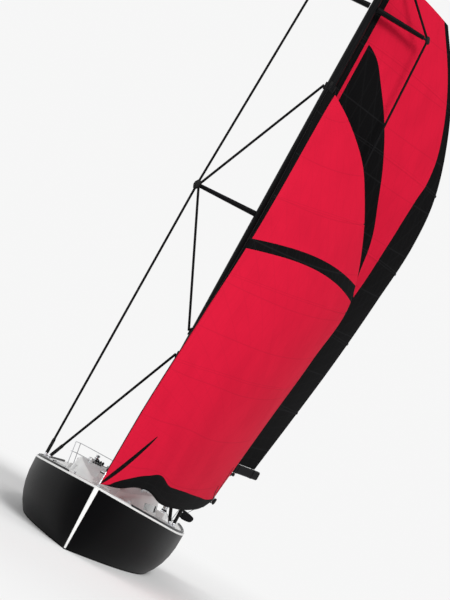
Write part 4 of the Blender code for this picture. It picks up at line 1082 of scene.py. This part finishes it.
# ------------------------------------------------------------------ Sail corners
# Black webbing and steel rings take the load at each corner; batten ends sit in
# black caps on the leech, the head has an alloy board and the main two reef eyes.
# Webbing bands round the boom carry the clew and the mainsheet's blocks.
webbing = Finish("black_webbing")
x, y, z = webbing.axes()
ribs = ((x + y * 0.7 + z) * 420.0).maths("SINE")
scuff = webbing.noise(18.0, 4.0)
webbing.set(Base_Color=webbing.blend(ribs.step(-0.5, 0.8), (0.0040, 0.0040, 0.0044), (0.012, 0.012, 0.013)),
            Roughness=0.72 + scuff * 0.12, Specular_IOR_Level=0.12)
corner, straps = Fitting(), Fitting()
clew, inside = Vector(jib_grid[0, -1]), Vector(jib_grid[0, -14])
outward = (clew - inside).normalized()
leech_up = (Vector(jib_grid[14, -1]) - clew).normalized()
face = outward.cross(leech_up).normalized()
ring_at = clew + outward * 0.055 - leech_up * 0.02
corner.ring(ring_at, face, 0.052, 0.010)
# webbing from the clew ring: how many rows up and columns in each strap reaches
for row, column in ((0, -9), (8, -8), (15, -5)):
    for lift in (0.0058, -0.0058):
        ends = [Vector(jib_grid[row * k // 4, -1 + (column + 1) * k // 4]) + face * lift for k in range(5)]
        straps.bar([ring_at + face * lift] + ends, 0.024, 8, flat=0.10,
                   side=outward.cross(face) if row < 10 else outward)
for lift in (0.034, -0.034):
    hub = ring_at + outward * 0.115 - leech_up * 0.045 + face * lift
    straps.turned(mirrored((0.026, 0.070), (0.020, 0.088)), hub, face, 24)
    straps.block(hub - outward * 0.070 + leech_up * 0.030, (0.065, 0.020, 0.020), outward, face)
clew_block = hub
tack = Vector(jib_grid[0, 0])
for lift in (0.004, -0.004):
    straps.bar((tack + Vector((-0.030, lift, 0.020)), tack + Vector((-0.012, lift, 0.0)),
                PIN_AT + Vector((-0.035, lift * 2.0, 0.0))), 0.012, 8, flat=0.2, side=(1.0, 0.0, 0.0))
head, head_aft = Vector(jib_grid[-1, 0]), Vector(jib_grid[-1, -1])
straps.ring(head.lerp(head_aft, 0.30) + Vector((0.0, 0.0, 0.035)), (1.0, 0.3, 0.0), 0.026, 0.006)
for share in (0.12, 0.30, 0.48):
    place = head.lerp(head_aft, share)
    straps.bar([place + Vector((0.0, 0.0, z)) for z in (0.020, -0.13)], 0.014, 8, flat=0.5,
               side=(0.0, 1.0, 0.0))


def batten_caps(fitting, grid, row_heights, battens, size, overlap):
    """A black cap on the leech end of each batten."""
    for v in battens:
        i = int(np.argmin(abs(row_heights - v)))
        end, along = Vector(grid[i, -1]), Vector(grid[i, -1] - grid[i, -3]).normalized()
        fitting.block(end - along * overlap, size, along)


batten_caps(straps, jib_grid, jib_rows, jib_battens, (0.034, 0.008, 0.026), 0.012)
corner.done("jib_corner_rings", "root", steel)
straps.done("jib_corner_webbing", "root", webbing)

corner, straps = Fitting(), Fitting()
GOOSENECK, BOOM_OUT = Vector((1.14, 0.0, 3.08)), math.radians(32.6)
BOOM_LONG, BOOM_RISE, BOOM_HALF, BOOM_DEEP = 5.62, 0.45, 0.075, 0.125
SHEET_POINTS, SHEET_DROP = (4.60, 4.48), -0.185
aft = Vector((-math.cos(BOOM_OUT), math.sin(BOOM_OUT), 0.0))
out = Vector((aft.y, -aft.x, 0.0))


def boom_at(r, side=0.0, up=0.0):
    """A point of the boom: metres from the swing axis, to leeward and up."""
    return GOOSENECK + aft * r + out * side + Vector((0.0, 0.0, up + BOOM_RISE * r / BOOM_LONG))


def band(fitting, r, width, reach=0.004):
    """A webbing band round the boom."""
    loop = bevelled(BOOM_HALF + reach, BOOM_DEEP + reach, 0.034)
    fitting.bar([boom_at(r, p, q) for p, q in loop], width, 8, True, 0.12, side=aft)


batten_caps(straps, main_grid, main_rows, main_battens, (0.045, 0.009, 0.030), 0.015)
tab = Fitting()
tab.bar(((0.008, 0.0, 0.0), (-0.008, 0.004, 0.0)), 0.014, 8, flat=0.5, side=(0.0, 0.0, 1.0))
tab_line = [(MAIN_LUFF_X - 0.002, 0.0, z) for z in (LUFF_FOOT, LUFF_HEAD)]
repeat_along("luff_tabs", "boom", [tab_line], CAR_GAP, tab, webbing)
for r, width in zip((5.33,) + SHEET_POINTS, (0.022, 0.024, 0.020)):
    band(straps, r, width)
corner.ring(Vector(main_grid[0, -1]) + Vector((0.03, -0.02, 0.060)), out, 0.030, 0.008)
corner.ring(Vector(main_grid[0, 0]) + Vector((-0.05, 0.032, 0.060)), out, 0.022, 0.007)
for v in (0.11, 0.215):
    i = int(np.argmin(abs(main_rows - v)))
    for j in (2, -3):
        eye_at, above, before = [Vector(main_grid[k]) for k in ((i, j), (i + 1, j), (i, j - 1))]
        straps.ring(eye_at, (above - eye_at).cross(eye_at - before), 0.028, 0.009)
board = [Vector(main_grid[k]) for k in ((-1, 0), (-1, 4), (-5, 4), (-8, 0))]
side = (board[1] - board[0]).cross(board[3] - board[0]).normalized()
for lift in (0.006, -0.006):
    corner.rows([[p + side * (lift + t) for p in board] for t in (-0.0015, 0.0015)])
corner.block(boom_at(1.75, 0.0, -0.146), (0.060, 0.016, 0.026), aft)
corner.block(boom_at(0.24), (0.075, 0.046, 0.075), aft)
corner.done("boom_and_sail_steel", "boom", steel)
straps.turned(((-0.004, 0.060), (0.020, 0.058), (0.030, 0.048)), boom_at(BOOM_LONG), aft, 20)
for r in SHEET_POINTS:
    straps.turned(mirrored((0.020, 0.036), (0.016, 0.048)), boom_at(r, 0.0, SHEET_DROP), out, 18)
    straps.bar((boom_at(r, 0.0, -BOOM_DEEP), boom_at(r, 0.0, SHEET_DROP)), 0.012, 8, flat=0.5)
straps.done("boom_and_sail_webbing", "boom", webbing)

# ------------------------------------------------------------------ Rescue float
# A buoyant sling in a soft black cover, stuffed tight and lashed to the port stern
# rail by two webbing straps; its corners are rounded by the padding.
FLOAT_AFT, FLOAT_LONG = -5.58, 0.32
# the side of the stern rail: x and y of its fore corner, and how much it spreads each metre
RAIL_X, RAIL_Y, RAIL_SPREAD = -5.10, 1.7555, 0.08 / 0.68
# outline before rounding: metres out from the rail, height
FLOAT_OUTLINE = ((0.0, 1.50), (0.30, 1.52), (0.36, 1.60), (0.36, 1.70), (0.04, 1.76), (0.0, 1.74))
# share of the length, share of the full outline there
FLOAT_ENDS = ((0.0, 0.55), (0.02, 0.86), (0.07, 0.97), (0.22, 1.0), (0.40, 1.012), (0.60, 1.012),
              (0.78, 1.0), (0.93, 0.97), (0.98, 0.86), (1.0, 0.55))
profile = [Vector(p) for p in FLOAT_OUTLINE]
for _ in range(3):
    pairs = list(zip(profile, profile[1:] + profile[:1]))
    profile = [p for a, b in pairs for p in (a.lerp(b, 0.22), a.lerp(b, 0.78))]
middle = sum(profile, Vector((0.0, 0.0))) / len(profile)


def rail_line(x):
    """How far out the stern rail stands, closing in towards the stern."""
    return RAIL_Y + (x - RAIL_X) * RAIL_SPREAD


def float_row(x, size, out=0.0):
    """One outline of the cover against the stern rail."""
    spots = [middle + (p - middle) * size + (p - middle).normalized() * out for p in profile]
    return [(x, rail_line(x) + max(a, 0.001), z) for a, z in spots]


cover = Fitting()
cover.rows([float_row(FLOAT_AFT + FLOAT_LONG * share, size) for share, size in FLOAT_ENDS])
soft = Finish("float_cover")
weave = soft.noise(160.0, 2.0)
fold = soft.noise(7.0, 3.0)
soft.set(Base_Color=soft.blend(fold, (0.0045, 0.0045, 0.0050), (0.010, 0.010, 0.011)),
         Roughness=0.80 + weave * 0.1, Specular_IOR_Level=0.10,
         Normal=soft.bump(fold * 0.8 + weave * 0.1, 0.4, 0.012))
bag = cover.done("rescue_float_cover", "root", soft, 60.0)
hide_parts("rescue_float")
ties = Fitting()
for share in (0.24, 0.76):
    x = FLOAT_AFT + FLOAT_LONG * share
    outer, inner = [[[Vector(p) for p in float_row(x + shift, size, out)] for shift in (-0.016, 0.016)]
                    for size, out in ((1.008, 0.002), (1.006, 0.0))]
    ties.rows([[outer[0][k], outer[1][k], inner[1][k], inner[0][k]] for k in range(len(profile))], True)
    ties.ring((x, rail_line(x) - 0.012, 1.690), (1.0, 0.0, 0.0), 0.022, 0.006)
ties.done("rescue_float_straps", "root", webbing)

# ------------------------------------------------------------------ Running rigging
# Dark braided lines, all under load: the jib sheet to its lead and winch, the
# mainsheet from boom to traveller car, and halyards led aft to the clutches.
braid = Finish("black_braid")
x, y, z = braid.axes()
plait = ((x + y + z) * 700.0).maths("SINE") * ((x - y + z) * 700.0).maths("SINE")
braid.set(Base_Color=braid.blend(plait.step(0.1, 0.7), (0.0045, 0.0045, 0.0048), (0.022, 0.022, 0.023)),
          Roughness=0.75 + plait * 0.08, Specular_IOR_Level=0.10)
PRIMARY_DRUM, CABIN_DRUM, ROPE, HALYARD = (-3.55, 1.315, 1.530), (-1.30, 0.78, 1.926), 0.006, 0.005


def wound(drum, radius, climb, hand, start, angles):
    """Turns of rope on a drum; climb is the rise for each radian."""
    return [drum + Vector((radius * math.sin(a - start), hand * radius * math.cos(a - start), climb * a))
            for a in angles]


sheet, sheaves = Fitting(), Fitting()
lead = on_deck(JIB_LEAD_X, JIB_TRACK_Y, 0.085)
climb = 0.013 / (2.0 * math.pi)
turns = wound(Vector(PRIMARY_DRUM), 0.074, climb, 1, 0.0, np.linspace(0.0, 6.5 * math.pi, 66))
sheet.bar([clew_block, lead] + turns, ROPE, 8)
axle = lead - Vector((0.0, 0.0, 0.012))
sheaves.turned(mirrored((0.018, 0.030), (0.014, 0.042)), axle, (0.2, 1.0, 0.35), 20)
sheaves.bar((lead - Vector((0.0, 0.0, 0.015)), on_deck(JIB_LEAD_X, JIB_TRACK_Y, 0.030)), 0.013, 8)
for sign in (1, -1):
    for k, (x, y) in enumerate(MAST_BLOCKS):
        leave = Vector((MAST_X + (x - MAST_X) * 0.8, sign * (MAST_HALF - 0.004), 2.72 + 0.14 * k))
        sheet.bar((leave, leave + Vector((0.0, sign * 0.022, -0.06)), on_deck(x, sign * y, 0.090),
                   sheave_box(sign, k, 0.034), clutch(sign, k, 0.10, 0.034)), HALYARD, 6)
    x, y, z = CABIN_DRUM
    drum_turns = wound(Vector((x, sign * y, z)), -0.058, 0.0017, sign, 1.2, np.linspace(0.0, 16.0, 60))
    outer = CLUTCHES - 1
    sheet.bar([clutch(sign, outer, 0.04, 0.034), clutch(sign, outer, -0.14, 0.036)] + drum_turns, HALYARD, 6)
sheet.bar((at_masthead(-0.145, 0.0, 0.03), (MAIN_LUFF_X - 0.008, 0.0, 16.207)), HALYARD, 6)
sheet.done("sheets_and_halyards", "root", braid)
sheaves.done("jib_lead_block", "root", rubber)

base, purchase = Vector((TRAVELLER_X, 0.29, 0.700)), Fitting()
above = [boom_at(r, 0.0, SHEET_DROP) for r in SHEET_POINTS]
lift = (above[0] - base).normalized()
across = lift.cross(Vector((1.0, 0.0, 0.0))).normalized()
fiddle = Fitting()
fiddle.bar((base - Vector((0.0, 0.0, 0.006)), base + lift * 0.05), 0.012, 10)
# the two sheaves of the fiddle block: how far up, radius, how far out its ropes lie
for reach, radius, width in ((0.095, 0.048, 0.043), (0.175, 0.036, 0.031)):
    fiddle.turned(mirrored((0.020, 0.75 * radius), (0.016, radius)), base + lift * reach, across, 20)
    for top, way in zip(above, (1, -1)):
        offset = lift.cross(across) * (way * width)
        purchase.bar((base + lift * reach + offset, top + offset.normalized() * 0.040), 0.0065, 8)
fiddle.done("mainsheet_fiddle_block", "root", rubber)
sheet_run = purchase.done("mainsheet", None, braid)
tuple(base + lift * 0.30)
tuple(above[0] - lift * 0.20)
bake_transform(sheet_run)
